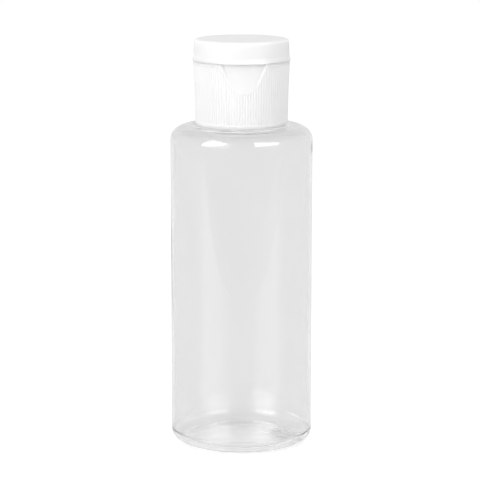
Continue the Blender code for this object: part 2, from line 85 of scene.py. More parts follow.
# Fineness of the meshes: columns round the axis, rows along a section and steps in a curve
BOTTLE_COLUMNS = 192
WASHER_COLUMNS = 192
LID_COLUMNS = 480
COLUMNS_PER_RIB = 6
NECK_THREAD_ROW = 0.13 * MM
CLOSURE_THREAD_ROW = 0.17 * MM
RECESS_ROW = 0.13 * MM
SKIRT_ROW = 1.0 * MM
PAD_ROW = 0.15 * MM
WALL_ROW = 2.5 * MM
BASE_ROW = 0.4 * MM
EDGE_STEPS = 4
FILLET_STEPS = 6
ROUND_STEPS = 12
CORNER_STEPS = 20
BAND_STEPS = 40
SHARP_ANGLE = math.radians(50)

# Columns that are joined into one where a surface is hidden or near the axis
POLE_STEP = 4
SKIRT_INSIDE_STEP = 3
SPOUT_STEP = 9
CEILING_STEP = 4
PLUG_STEP = 8

# Rings across a flat or dished disc
POLE_RADIUS = 0.3 * MM
DISC_RING_SHARE = 0.6
DISH_SHARES = (0.97, 0.9, 0.75, 0.5, 0.25)

# Aids to the turning: the path's radius, what counts as one point, and guards for rounding and division
TURNING_RADIUS = 20 * MM
MERGE_DISTANCE = 0.001 * MM
COLUMN_NUDGE = 0.01
LEAST_SINE = 0.5
LEAST_COSINE = 0.05

# Unevenness of the blown plastic
WAVES_AROUND = 2.2
WAVES_ALONG = 24.0
WAVES_SCALE = 1.6
WAVES_ON_BASE_SHARE = 0.6
CRINKLE_RING = 8 * MM
CRINKLE_SCALE = 460.0
CRINKLE_FADE = (7 * MM, 12 * MM)
CRINKLE_SIDE = (0.92, -0.39)
CRINKLE_SIDE_FADE = (0.72, 0.95)
CRINKLE_ELSEWHERE_SHARE = 0.12
CRINKLE_ON_HEEL_SHARE = 0.6

# Places in the clear plastic's finish: painted light on base and neck, painted shade on the base's marks
BASE_FADE = (2.2 * MM, 4.4 * MM)
BASE_RIM_FADE = (15.5 * MM, 19.0 * MM)
NECK_FADE = (90.0 * MM, 91.0 * MM)
NECK_ROOT_FADE = (13.0 * MM, 15.0 * MM)
MARKS_PLACE = (13.0 * MM, -4.0 * MM)
MARKS_FADE = (2.0 * MM, 8.0 * MM)
MARKS_TOP_FADE = (3.8 * MM, 5.2 * MM)

# Stage. The table's gap keeps its contact with the clear base from showing as a dark ring
TABLE_GAP = 0.25 * MM
TABLE_HALF_WIDTH = 1.6
TABLE_BACK = 1.6
TABLE_BEND = 12 * MM
TABLE_THICKNESS = 48 * MM
LAMP_DISTANCE = 1.1
HORIZON = 0.05


def length(name, default, description):
    """A length that a user can change, in metres."""
    return FloatProperty(
        name=name, description=description, default=default, unit="LENGTH", subtype="DISTANCE", precision=5
    )


def degrees(name, default, description):
    """An angle, given here in degrees."""
    return FloatProperty(
        name=name, description=description, default=math.radians(default), unit="ROTATION", subtype="ANGLE"
    )


def factor(name, default, description):
    """A share of a whole."""
    return FloatProperty(
        name=name, description=description, default=default, subtype="FACTOR", min=0.0, max=1.0, precision=3
    )


def number(name, default, description, unit="NONE"):
    return FloatProperty(name=name, description=description, default=default, unit=unit, precision=3)


def count(name, default, description):
    """A whole number, a dozen or more."""
    return IntProperty(name=name, description=description, default=default, min=12)


def tint(name, default, description):
    return FloatVectorProperty(
        name=name, description=description, default=default, subtype="COLOR", size=3, min=0.0, max=1.0
    )


class BottleSizes(bpy.types.PropertyGroup):
    """The blown bottle: body, base, shoulder and threaded neck."""

    body_radius: length("Body Radius", BOTTLE_BOX[1].x, "Outside of the straight wall")
    body_wall: length("Wall", 0.70 * MM, "Thickness of the straight wall")
    shoulder_top: length("Shoulder Top", 91.70 * MM, "Height of the shoulder's nearly flat top")
    shoulder_width: length("Shoulder Width", 6.08 * MM, "How far in the shoulder's curve reaches")
    shoulder_drop: length("Shoulder Drop", 4.37 * MM, "How far down the shoulder's curve reaches")
    shoulder_power: number("Shoulder Power", 2.26, "2 is an ellipse, and more is squarer")
    shoulder_slope: number("Shoulder Slope", 0.05, "Rise of the shoulder's top towards the neck")
    heel_width: length("Heel Width", 2.91 * MM, "How far in the heel's curve reaches")
    heel_rise: length("Heel Rise", 2.65 * MM, "How far up the heel's curve reaches")
    heel_power: number("Heel Power", 1.86, "2 is an ellipse, and less is more pointed")
    inner_heel_rise: length("Inner Heel Rise", 3.30 * MM, "Height at which the heel's inside starts to curve")
    insert_line: length("Insert Line", 3.45 * MM, "Height of the line that the mould's base insert leaves")
    insert_depth: length("Insert Depth", 0.055 * MM, "Depth of that line")
    insert_width: length("Insert Width", 0.45 * MM, "Width of that line")
    base_wall: length("Base Wall", 1.00 * MM, "Thickness of the base")
    ring_width: length("Standing Ring", 1.90 * MM, "Width of the flat ring that it stands on")
    push_up_rise: length("Push-Up", 2.60 * MM, "Height of the base's hollow")
    push_up_power: number("Push-Up Power", 2.00, "How flat the hollow's middle is")
    gate_radius: length("Gate Radius", 1.90 * MM, "Round mark in the middle of the base")
    gate_drop: length("Gate Drop", 0.005 * MM, "How far the gate mark stands down")
    neck_radius: length("Neck Radius", 10.80 * MM, "Outside of the neck between the threads")
    neck_wall: length("Neck Wall", 1.60 * MM, "Thickness of the neck")
    neck_root_fillet: length("Neck Root", 0.45 * MM, "Fillet between shoulder and neck")
    neck_inner_fillet: length("Neck Throat", 1.20 * MM, "Round of the throat inside")
    lip_round: length("Lip Round", 0.35 * MM, "Round on the neck's lip")
    ripple: length("Ripple", 0.05 * MM, "Unevenness of the blown wall's inside")
    crinkle: length("Crinkle", 0.48 * MM, "Unevenness of the base's inside, most on its right")


class ThreadSizes(bpy.types.PropertyGroup):
    """The thread that neck and closure share."""

    pitch: length("Pitch", 3.175 * MM, "Rise of the thread in one turn")
    neck_turns: number("Neck Turns", 1.50, "Turns of thread on the neck")
    closure_turns: number("Closure Turns", 1.25, "Turns of thread in the closure")
    closure_start: number("Closure Start", 0.50, "Turn at which the closure's thread starts")
    depth: length("Depth", 1.20 * MM, "How far the neck's thread stands out")
    root_width: length("Root Width", 2.00 * MM, "Width of the neck's thread at its root")
    crest_width: length("Crest Width", 0.95 * MM, "Width of the neck's thread at its crest")
    land: length("Land", 1.10 * MM, "Plain neck above the thread")
    flank_gap: length("Flank Gap", 0.28 * MM, "Clearance on each flank")
    crest_gap: length("Crest Gap", 0.30 * MM, "Clearance between the closure's thread and the neck")
    runout: factor("Runout", 0.09, "Part of a turn in which the thread's end fades")


class WasherSizes(bpy.types.PropertyGroup):
    """The liner ring under the deck."""

    inner_radius: length("Inner Radius", 9.00 * MM, "Inside of the ring")
    edge: length("Edge", 0.12 * MM, "Round on the ring's pressed edges")


class ClosureSizes(bpy.types.PropertyGroup):
    """The closure's skirt, ribs, thumb recess, deck and spout."""

    inner_radius: length("Inner Radius", 12.25 * MM, "Inside of the skirt between the threads")
    foot_radius: length("Foot Radius", 13.20 * MM, "Outside of the skirt at its foot")
    flare: length("Flare", 0.32 * MM, "How much wider the skirt is at its head")
    head_swell: length("Head Swell", 0.25 * MM, "How far the skirt swells out to the lid")
    head_rise: length("Head Rise", 1.50 * MM, "Height over which it swells")
    seat_inset: length("Seat Inset", 0.02 * MM, "From the skirt's rim in to the seat that the lid rests on")
    seat_height: length("Seat Height", 0.27 * MM, "Height of that seat over the rim")
    edge: length("Edge", 0.20 * MM, "Round on the skirt's edge over its bevelled foot")
    bevel: length("Bevel", 0.55 * MM, "Height of the bevel under the skirt's edge")
    bevel_inset: length("Bevel Inset", 0.22 * MM, "How far in that bevel goes")
    foot_gap: length("Foot Gap", 0.06 * MM, "Air between the skirt's foot and the shoulder")
    foot_round: length("Foot Round", 0.12 * MM, "Round on both sides of the skirt's foot")
    rim_round: length("Rim Round", 0.05 * MM, "Round on the skirt's rim, under the lid")
    rib_count: count("Rib Count", 108, "Number of grip ribs, a multiple of 3")
    rib_depth: length("Rib Depth", 0.19 * MM, "Depth of the grooves between ribs")
    rib_foot_band: length("Foot Band", 0.15 * MM, "Plain band under the ribs")
    rib_head_band: length("Head Band", 0.45 * MM, "Plain band over the ribs")
    rib_end: length("Rib End", 0.40 * MM, "Length over which a rib fades out")
    recess_half_width: length("Recess Half Width", 6.40 * MM, "Half the recess's width at the parting line")
    recess_drop: length("Recess Drop", 7.90 * MM, "Height of the thumb recess")
    recess_round: length("Recess Round", 4.35 * MM, "Radius of the recess's foot")
    recess_depth: length("Recess Depth", 0.66 * MM, "Depth of the recess at the parting line")
    recess_fade: length("Recess Fade", 0.07 * MM, "Depth of the recess at its foot")
    recess_edge: length("Recess Edge", 0.22 * MM, "Width of the recess's rounded edge")
    deck_bottom: length("Deck Bottom", 109.30 * MM, "Underside of the deck")
    platform_top: length("Platform Top", 110.60 * MM, "Top of the deck inside the lid")
    platform_radius: length("Platform Radius", 12.05 * MM, "Radius of the raised deck inside the lid")
    platform_edge: length("Platform Edge", 0.25 * MM, "Round on the deck's rim")
    catch_height: length("Catch Height", 0.36 * MM, "Height of the ridge that holds the lid")
    catch_depth: length("Catch Depth", 0.12 * MM, "How far that ridge stands out")
    spout_radius: length("Spout Radius", 3.30 * MM, "Outside of the spout")
    spout_round: length("Spout Round", 0.60 * MM, "Round on the spout's rim")
    spout_fillet: length("Spout Fillet", 0.80 * MM, "Fillet at the spout's foot")
    orifice_radius: length("Orifice Radius", 1.60 * MM, "Radius of the pouring hole")
    orifice_flare: length("Orifice Flare", 0.25 * MM, "Flare of the hole's mouth")


class LidSizes(bpy.types.PropertyGroup):
    """The flip lid with its bead and its sealing plug."""

    radius: length("Radius", 13.62 * MM, "Outside of the lid above its bead")
    draft: length("Draft", 0.14 * MM, "How much narrower the lid is at its top")
    top_wall: length("Top Wall", 1.00 * MM, "Thickness of the lid's top")
    top_round: length("Top Round", 0.72 * MM, "Round on the lid's top edge")
    top_dish: length("Top Dish", 0.06 * MM, "How far the middle of the top is sunk")
    inner_radius: length("Inner Radius", 12.35 * MM, "Inside of the lid's wall")
    inner_round: length("Inner Round", 0.70 * MM, "Round under the lid's ceiling")
    bead_depth: length("Bead Depth", 0.27 * MM, "How far the bead stands out")
    bead_middle: length("Bead Middle", 0.08 * MM, "Height of the bead's crest over the lid's foot")
    bead_reach: length("Bead Reach", 1.60 * MM, "How far the bead swells above and below its crest")
    foot_round: length("Foot Round", 0.05 * MM, "Round on the lid's lower edge")
    plug_radius: length("Plug Radius", 1.40 * MM, "Radius of the sealing plug")
    plug_reach: length("Plug Reach", 1.60 * MM, "How far the plug goes into the spout")
    plug_fillet: length("Plug Fillet", 0.50 * MM, "Fillet at the plug's root")
    plug_tip: factor("Plug Tip", 0.72, "Radius of the plug's tip as a share of the plug's")


class HingeSizes(bpy.types.PropertyGroup):
    """The pads behind skirt and lid, and the film bands that join them."""

    pad_half_width: length("Pad Half Width", 6.00 * MM, "Half the width of the flat pads")
    pad_drop: length("Pad Drop", 5.20 * MM, "Height of the skirt's pad")
    lid_pad_top: length("Lid Pad Top", 114.294 * MM, "Height at which the lid's pad ends")
    pad_slope: number("Pad Slope", 0.50, "Slope of the pads' ends")
    pocket_edge: length("Pocket Edge", 0.14 * MM, "Width of the pockets' rounded edges")
    clearance: length("Clearance", 0.30 * MM, "Gap round the bands in their pockets")
    strap_pocket: length("Strap Pocket", 0.60 * MM, "Depth of the straps' pockets")
    spring_pocket: length("Spring Pocket", 0.30 * MM, "Depth of the spring's pocket")
    strap_thickness: length("Strap Thickness", 0.40 * MM, "Thickness of a strap at its ends")
    spring_thickness: length("Spring Thickness", 0.42 * MM, "Thickness of the spring at its crown")
    spring_proud: length("Spring Proud", 0.20 * MM, "How far the spring stands behind the pivot")
    film: length("Film", 0.25 * MM, "Thickness of the film that bends")
    bend_reach: length("Bend Reach", 0.65 * MM, "How far above and below the pivot the bands bend")


class Finish(bpy.types.PropertyGroup):
    """Colours and surfaces of the three plastics."""

    clear_tint: tint("Clear Plastic", (0.838, 0.838, 0.838), "What one wall of the bottle lets through")
    clear_shadow: tint("Clear Shadow", (0.955, 0.955, 0.955), "Lamp light that one surface lets through")
    clear_edge: factor("Clear Edge", 0.72, "Light left where the wall is seen edge on")
    clear_roughness: factor("Clear Roughness", 0.03, "Haze of the bottle's surface")
    clear_ior: number("Clear IOR", 1.575, "How strongly the clear plastic bends light")
    # Painted light: a share over 1 lightens base and neck in colour
    ends_painted_light: number("Ends Share", 1.17, "What base and neck let through, as a share of what the wall does")
    # Painted shade: darker marks over the base's crinkles, standing in for how they refract
    mark_painted_shade: factor("Mark Share", 0.60, "How much of that the flow marks in the base let through")
    white_tint: tint("White Plastic", (0.878, 0.878, 0.878), "Colour of closure, lid and hinge")
    white_roughness: factor("White Roughness", 0.34, "How matt the white plastic is")
    white_ior: number("White IOR", 1.49, "How strongly the white plastic mirrors")
    white_depth: length("White Depth", 1.2 * MM, "How far light spreads inside the white plastic")
    # Painted shade: colour left where the white plastic's grooves are darkened
    groove_painted_shade: factor("Groove Share", 0.93, "Colour left in the white plastic's grooves")
    foam_tint: tint("Liner Foam", (0.900, 0.890, 0.860), "Colour of the sealing washer")
    foam_depth: length("Foam Depth", 0.8 * MM, "How far light spreads inside the foam")


class StageLook(bpy.types.PropertyGroup):
    """Camera, table, brightness of the room round them, and how far light is followed."""

    camera_distance: length("Camera Distance", 595.94 * MM, "From the bottle's axis, along the floor")
    camera_height: length("Camera Height", 171.98 * MM, "Above the floor")
    camera_azimuth: degrees("Camera Azimuth", -3.1, "How far round the bottle from the recess")
    camera_pitch: degrees("Camera Pitch", 10.82, "How far down the camera looks")
    camera_yaw: degrees("Camera Yaw", 0.0407, "How far left of the axis the camera looks")
    camera_lens: number("Lens", 158.42, "Focal length on the sensor's width, in millimetres", unit="CAMERA")
    table_front: length("Table Front", 230 * MM, "From the bottle's axis to the table's front edge")
    table_tint: tint("Table", (0.74, 0.74, 0.74), "Colour of the pale table")
    table_roughness: factor("Table Roughness", 0.42, "Roughness of the table, which mirrors the panels")
    table_glow: number("Table Glow", 0.44, "White that the table adds far behind the bottle where it is seen")
    table_front_glow: number("Table Front Glow", 0.33, "White that it adds in front of the bottle")
    table_edge_share: factor("Table Edge Share", 0.56, "Share of that left at the front edge itself")
    table_sheen: number("Table Sheen", 0.06, "White that the table adds where it is mirrored")
    studio_front: number("Studio Front", 0.80, "Mirrored brightness of the room behind the camera")
    studio_back: number("Studio Back", 0.75, "Mirrored brightness of the room behind the bottle")
    studio_top: factor("Studio Top", 0.40, "Share of that left overhead")
    ambient: number("Ambient", 0.70, "Brightness of the light from all round")
    ambient_top: number("Ambient Top", 0.98, "Brightness of the light from overhead")
    clear_bounces: count("Bounces", 48, "How often light may turn inside the clear walls")


class FlipTopBottle(bpy.types.PropertyGroup):
    """All sizes and looks of the bottle and its stage."""

    bottle: PointerProperty(type=BottleSizes)
    thread: PointerProperty(type=ThreadSizes)
    washer: PointerProperty(type=WasherSizes)
    closure: PointerProperty(type=ClosureSizes)
    lid: PointerProperty(type=LidSizes)
    hinge: PointerProperty(type=HingeSizes)
    finish: PointerProperty(type=Finish)
    stage: PointerProperty(type=StageLook)


# Formulas in node trees


class Term:
    """A number inside a node tree. Python's operators join terms with Math nodes."""

    def __init__(self, tree, socket):
        self.tree = tree
        self.socket = socket

    def __add__(self, other):
        return math_node("ADD", self, other)

    def __sub__(self, other):
        return math_node("SUBTRACT", self, other)

    def __rsub__(self, other):
        return math_node("SUBTRACT", other, self)

    def __neg__(self):
        return math_node("SUBTRACT", 0.0, self)

    def __mul__(self, other):
        return math_node("MULTIPLY", self, other)

    def __truediv__(self, other):
        return math_node("DIVIDE", self, other)

    __radd__ = __add__
    __rmul__ = __mul__


def plug(socket, value):
    """Link a term or a socket to an input, or set a plain value on it."""
    if isinstance(value, Term):
        value = value.socket
    if isinstance(value, bpy.types.NodeSocket):
        socket.id_data.links.new(value, socket)
    else:
        socket.default_value = value


def plug_all(node, inputs):
    """Plug several inputs of a node, by name or by number."""
    for key, value in inputs.items():
        plug(node.inputs[key], value)


def add_node(tree, kind, inputs=None, **settings):
    """A node with its settings made and its inputs plugged."""
    node = tree.nodes.new(kind)
    for name, value in settings.items():
        setattr(node, name, value)
    plug_all(node, inputs or {})
    return node


def axes_of(tree, vector):
    """The X, Y and Z of a vector."""
    node = add_node(tree, "ShaderNodeSeparateXYZ", {"Vector": vector})
    return [Term(tree, socket) for socket in node.outputs]


def math_node(operation, *values):
    tree = next(value.tree for value in values if isinstance(value, Term))
    node = add_node(tree, "ShaderNodeMath", dict(enumerate(values)), operation=operation)
    return Term(tree, node.outputs[0])


def smallest(first, second):
    return math_node("MINIMUM", first, second)


def largest(first, second):
    return math_node("MAXIMUM", first, second)


def absolute(value):
    return math_node("ABSOLUTE", value)


def is_over(value, least):
    return math_node("GREATER_THAN", value, least)


def diagonal(across, up):
    return math_node("SQRT", across * across + up * up)


def mix(first, second, share):
    return first + (second - first) * share


def smooth(value, low, high, start=0.0, end=1.0):
    """A smooth step from start to end as the value goes from low to high."""
    inputs = dict(enumerate((value, low, high, start, end)))
    node = add_node(value.tree, "ShaderNodeMapRange", inputs, interpolation_type="SMOOTHSTEP")
    return Term(value.tree, node.outputs[0])


def fade(value, low, high):
    """1 up to low, and smoothly down to 0 at high."""
    return smooth(value, low, high, 1.0, 0.0)


def up_to(value, high, edge):
    """1 up to high, with a smooth edge."""
    return fade(value, high - edge * 0.5, high + edge * 0.5)


def within(value, low, high, edge):
    """1 between low and high, with a smooth edge on both sides."""
    return smooth(value, low - edge * 0.5, low + edge * 0.5) * up_to(value, high, edge)


# Turned surfaces


class Profile:
    """Points of a turned section, each with the marks that say which rules shape it there."""

    MARKS = ("step", "outside", "thread", "ripple", "crinkle")

    def __init__(self):
        self.points = []
        self.marks = []

    def add(self, points, **marks):
        self.points += points
        self.marks += [{"step": 1, **marks}] * len(points)

    def outline(self, name, closed):
        """The section as a mesh of edges, ready to be turned."""
        mesh = bpy.data.meshes.new(name)
        last = len(self.points) - 1
        edges = [(i, i + 1) for i in range(last)] + ([(last, 0)] if closed else [])
        corners = [(radius - TURNING_RADIUS, -height, 0.0) for radius, height in self.points]
        mesh.from_pydata(corners, edges, [])
        for mark in self.MARKS:
            values = [marks.get(mark, 0) for marks in self.marks]
            mesh.attributes.new(mark, "FLOAT", "POINT").data.foreach_set("value", values)
        return mesh


class Surface:
    """What a rule knows about each point of a turned surface: its place, its marks and the piece's sizes."""

    def __init__(self, tree, sizes):
        self.tree = tree
        self.sizes = sizes
        x, y, self.height = axes_of(tree, add_node(tree, "GeometryNodeInputPosition").outputs[0])
        self.radius = diagonal(x, y)
        columns = self.size("Columns")
        step = self.mark("step")
        column = math_node("ROUND", math_node("ARCTAN2", y, x) * columns / math.tau)
        self.turn = math_node("FLOOR", (column + COLUMN_NUDGE) / step) * step / columns
        self.cosine = math_node("COSINE", self.turn * math.tau)
        self.sine = math_node("SINE", self.turn * math.tau)
        self.across = self.radius * self.cosine

    def size(self, label):
        return Term(self.tree, self.sizes.outputs[label])

    def mark(self, name):
        node = add_node(self.tree, "GeometryNodeInputNamedAttribute", {"Name": name}, data_type="FLOAT")
        return Term(self.tree, node.outputs["Attribute"])

    def unevenness(self, x, y, z, scale, roughness, distortion=0.0):
        """Noise from -0.5 to 0.5, read at that place."""
        place = add_node(self.tree, "ShaderNodeCombineXYZ", {"X": x, "Y": y, "Z": z})
        look = {"Scale": scale, "Detail": 2.0, "Roughness": roughness, "Distortion": distortion}
        found = add_node(self.tree, "ShaderNodeTexNoise", {"Vector": place.outputs[0], **look})
        return Term(self.tree, found.outputs[0]) - 0.5


def turned_tree(name, labels, rule, lift):
    """A tree that turns a section about Z. The piece's own rules set each point's radius and height."""
    tree = bpy.data.node_groups.new(name, "GeometryNodeTree")
    for label, way, kind in (
        ("Geometry", "INPUT", "Geometry"),
        ("Geometry", "OUTPUT", "Geometry"),
        ("Material", "INPUT", "Material"),
        ("Columns", "INPUT", "Int"),
        *((label, "INPUT", "Float") for label in labels),
    ):
        tree.interface.new_socket(label, in_out=way, socket_type=f"NodeSocket{kind}")
    sizes = tree.nodes.new("NodeGroupInput")
    section = add_node(tree, "GeometryNodeMeshToCurve", {"Mesh": sizes.outputs["Geometry"]}).outputs[0]
    circle = {"Resolution": sizes.outputs["Columns"], "Radius": TURNING_RADIUS}
    path = add_node(tree, "GeometryNodeCurvePrimitiveCircle", circle).outputs[0]
    made = add_node(tree, "GeometryNodeCurveToMesh", {"Curve": path, "Profile Curve": section}).outputs[0]
    surface = Surface(tree, sizes)
    radius = rule(surface) if rule else surface.radius
    height = lift(surface) if lift else surface.height
    corner = {"X": radius * surface.cosine, "Y": radius * surface.sine, "Z": height}
    place = add_node(tree, "ShaderNodeCombineXYZ", corner).outputs[0]
    for kind, inputs in (
        ("SetPosition", {"Position": place}),
        ("MergeByDistance", {"Distance": MERGE_DISTANCE}),
        ("SetShadeSmooth", {}),
        ("RealizeInstances", {}),
        ("SetMaterial", {"Material": sizes.outputs["Material"]}),
    ):
        made = add_node(tree, f"GeometryNode{kind}", {"Geometry": made, **inputs}).outputs[0]
    add_node(tree, "NodeGroupOutput", {"Geometry": made})
    return tree


def link(name, data):
    made = bpy.data.objects.new(name, data)
    bpy.context.scene.collection.objects.link(made)
    return made


def close_up(made):
    """Point the faces outwards, smooth the mesh and stop if it isn't one closed skin."""
    mesh = made.data
    bm = bmesh.new()
    bm.from_mesh(mesh)
    bmesh.ops.dissolve_degenerate(bm, edges=bm.edges, dist=MERGE_DISTANCE / 10)
    if bm.calc_volume(signed=True) < 0:
        bmesh.ops.reverse_faces(bm, faces=bm.faces)
    open_edges = sum(not edge.is_manifold for edge in bm.edges)
    bm.to_mesh(mesh)
    bm.free()
    if open_edges or not mesh.polygons:
        raise RuntimeError(f"{made.name} isn't closed: {open_edges} open edges, {len(mesh.polygons)} faces")
    mesh.shade_smooth()
    mesh.set_sharp_from_angle(angle=SHARP_ANGLE)
    return made


def turn(name, profile, columns, finish, sizes=None, rule=None, lift=None, closed=False):
    """Turn a profile through its own tree and return the plain mesh object."""
    sizes = sizes or {}
    tree = turned_tree(name, sizes, rule, lift)
    made = link(name, profile.outline(name, closed))
    modifier = made.modifiers.new("Turned", "NODES")
    modifier.node_group = tree
    values = {"Material": finish, "Columns": columns, **sizes}
    for item in tree.interface.items_tree:
        if item.in_out == "INPUT" and item.name in values:
            modifier[item.identifier] = values[item.name]
    graph = bpy.context.evaluated_depsgraph_get()
    made.data = bpy.data.meshes.new_from_object(made.evaluated_get(graph))
    made.modifiers.clear()
    for mark in Profile.MARKS:
        made.data.attributes.remove(made.data.attributes[mark])
    return close_up(made)


def arc(center, radius, start, end, steps=FILLET_STEPS):
    """Points of (radius, height) on a circle, from one angle in degrees to another."""
    angles = [math.radians(start + (end - start) * i / steps) for i in range(steps + 1)]
    return [(center[0] + radius * math.cos(angle), center[1] + radius * math.sin(angle)) for angle in angles]


def super_corner(center, width, height, power):
    """A corner from straight beside its centre round to straight above it."""
    points = []
    for i in range(CORNER_STEPS + 1):
        angle = math.pi / 2 * i / CORNER_STEPS
        across = math.cos(angle) ** (2 / power)
        along = math.sin(angle) ** (2 / power)
        points.append((center[0] + width * across, center[1] + height * along))
    return points


def ridge(foot, rise, depth, power):
    """Points up a small ridge on a straight wall, or a groove where its depth is below 0."""
    points = []
    for i in range(ROUND_STEPS + 1):
        share = i / ROUND_STEPS
        points.append((foot[0] + depth * math.sin(math.pi * share) ** power, foot[1] + rise * share))
    return points


def run(start, end, spacing):
    """Points from start to just before end, about a spacing apart."""
    steps = max(1, round(math.dist(start, end) / spacing))
    shares = [i / steps for i in range(steps)]
    return [tuple(a + (b - a) * share for a, b in zip(start, end)) for share in shares]


# Rules of the surfaces


def thread_ridge(surface, start_turn):
    """Height of a helical ridge over its wall, from 0 to its depth."""
    labels = ("Pitch", "Turns", "Thread Depth", "Thread Root", "Thread Crest", "Runout")
    pitch, turns, depth, root, crest, runout = (surface.size(label) for label in labels)
    around = math_node("FRACT", surface.turn - start_turn + 1.0)
    level = (surface.height - surface.size("Thread Start")) / pitch - around
    whole = math_node("ROUND", level)
    away = absolute(level - whole) * pitch
    wound = whole + around
    swell = smooth(smallest(wound, turns - wound), 0.0, runout)
    return depth * swell * smooth(away, root * 0.5 * swell, crest * 0.5 * swell)


def bottle_rule(surface):
    """The neck's thread outside, and the blown wall's slight waves inside."""
    around = (surface.cosine * WAVES_AROUND, surface.sine * WAVES_AROUND)
    waves = surface.unevenness(*around, surface.height * WAVES_ALONG, WAVES_SCALE, roughness=0.45)
    waves = waves * surface.size("Ripple") * surface.mark("ripple")
    return surface.radius + thread_ridge(surface, 0.0) * surface.mark("thread") + waves


def base_lift(surface):
    """The base's inside crinkles round its middle, most on the right and towards the front."""
    around = (surface.cosine * CRINKLE_RING, surface.sine * CRINKLE_RING)
    crinkles = surface.unevenness(surface.radius, *around, CRINKLE_SCALE, roughness=0.5, distortion=0.8)
    towards = surface.cosine * CRINKLE_SIDE[0] + surface.sine * CRINKLE_SIDE[1]
    right = smooth(towards, *CRINKLE_SIDE_FADE, start=CRINKLE_ELSEWHERE_SHARE)
    depth = surface.size("Crinkle") * surface.mark("crinkle") * right * smooth(surface.radius, *CRINKLE_FADE)
    return surface.height + crinkles * depth


def hinge_pad(surface, wall, rise):
    """The wall with its flat hinge pad behind, and the pockets in it. rise is above the pad's sloping end."""
    back = largest(surface.sine, LEAST_SINE)
    face = surface.size("Pad Face")
    edge = surface.size("Pocket Edge")
    gap = surface.size("Clearance")
    across = absolute(face * surface.cosine / back)
    above = absolute(surface.height - surface.size("Pivot Height"))
    strap = within(across, surface.size("Strap Inner") - gap, surface.size("Strap Outer") + gap, edge)
    strap = strap * up_to(above, surface.size("Strap Reach") + gap, edge)
    spring = up_to(across, surface.size("Spring Half Width") + gap, edge)
    spring = spring * up_to(above, surface.size("Spring Reach") + gap, edge)
    depth = strap * surface.size("Strap Pocket") + spring * surface.size("Spring Pocket")
    cut = mix(wall, smallest(wall, (face - depth) / back), smooth(rise, -edge * 2.0, -edge))
    sloped = smallest(face, face + rise / surface.size("Pad Slope"))
    side = surface.size("Pad Half Width") / largest(absolute(surface.cosine), LEAST_COSINE)
    pad = smallest((sloped - depth) / back, side)
    return largest(cut, pad * is_over(surface.sine, 0.0))


def recess_distance(surface):
    """How far a point in front lies outside the recess's outline, seen from the front."""
    labels = ("Recess Half Width", "Recess Drop", "Recess Round", "Ledge")
    half, drop, bend, ledge = (surface.size(label) for label in labels)
    middle = ledge - drop + bend
    across = absolute(surface.across)
    up = surface.height - middle
    rise = ledge - middle
    touch = math_node("ARCTAN2", rise, half) - math_node("ARCCOSINE", bend / diagonal(half, rise))
    straight = across * math_node("COSINE", touch) + up * math_node("SINE", touch)
    on_side = is_over(math_node("ARCTAN2", up, across), touch)
    return mix(diagonal(across, up), straight, on_side) - bend


def closure_rule(surface):
    """Ribs, thumb recess and hinge pad outside, and the thread inside."""
    labels = ("Ledge", "Foot", "Head Radius", "Recess Drop", "Recess Edge", "Rib End", "Pad Half Width")
    ledge, skirt_foot, head_radius, drop, edge, rib_end, pad_half = (surface.size(label) for label in labels)
    pad_foot = ledge - surface.size("Pad Drop")
    outside = recess_distance(surface)
    front = is_over(0.0, surface.sine)
    behind = is_over(surface.sine, 0.0) * within(surface.across, -pad_half, pad_half, edge)
    clear = 1.0 - smooth(outside, edge * 1.2, edge * 0.2) * front
    plain = 1.0 - behind * smooth(surface.height, pad_foot - edge * 2.0, pad_foot)
    foot = skirt_foot + surface.size("Foot Band")
    head = ledge - surface.size("Head Band")
    ribbed = smooth(surface.height, foot, foot + rib_end) * smooth(surface.height, head, head - rib_end)
    groove = 0.5 - math_node("COSINE", surface.turn * surface.size("Rib Count") * math.tau) * 0.5
    wall = surface.radius - surface.size("Rib Depth") * groove * ribbed * clear * plain
    flared = surface.size("Flare") * drop / surface.size("Skirt Height")
    down = (ledge - surface.height) / drop
    floor = head_radius - mix(surface.size("Recess Depth"), surface.size("Recess Fade") + flared, down)
    inside = smooth(outside, edge * 0.5, edge * -0.5) * front
    wall = mix(wall, smallest(wall, floor), inside)
    wall = hinge_pad(surface, wall, surface.height - pad_foot)
    thread = thread_ridge(surface, surface.size("Closure Start")) * surface.mark("thread")
    return mix(surface.radius, wall, surface.mark("outside")) - thread


def lid_rule(surface):
    """The lid's wall with the hinge pad behind."""
    wall = hinge_pad(surface, surface.radius, surface.size("Lid Pad Top") - surface.height)
    return mix(surface.radius, wall, surface.mark("outside"))


# Sections of the pieces


def shoulder_at(bottle, radius):
    """Height of the shoulder's nearly flat top at that radius."""
    return bottle.shoulder_top + bottle.shoulder_slope * (bottle.body_radius - bottle.shoulder_width - radius)


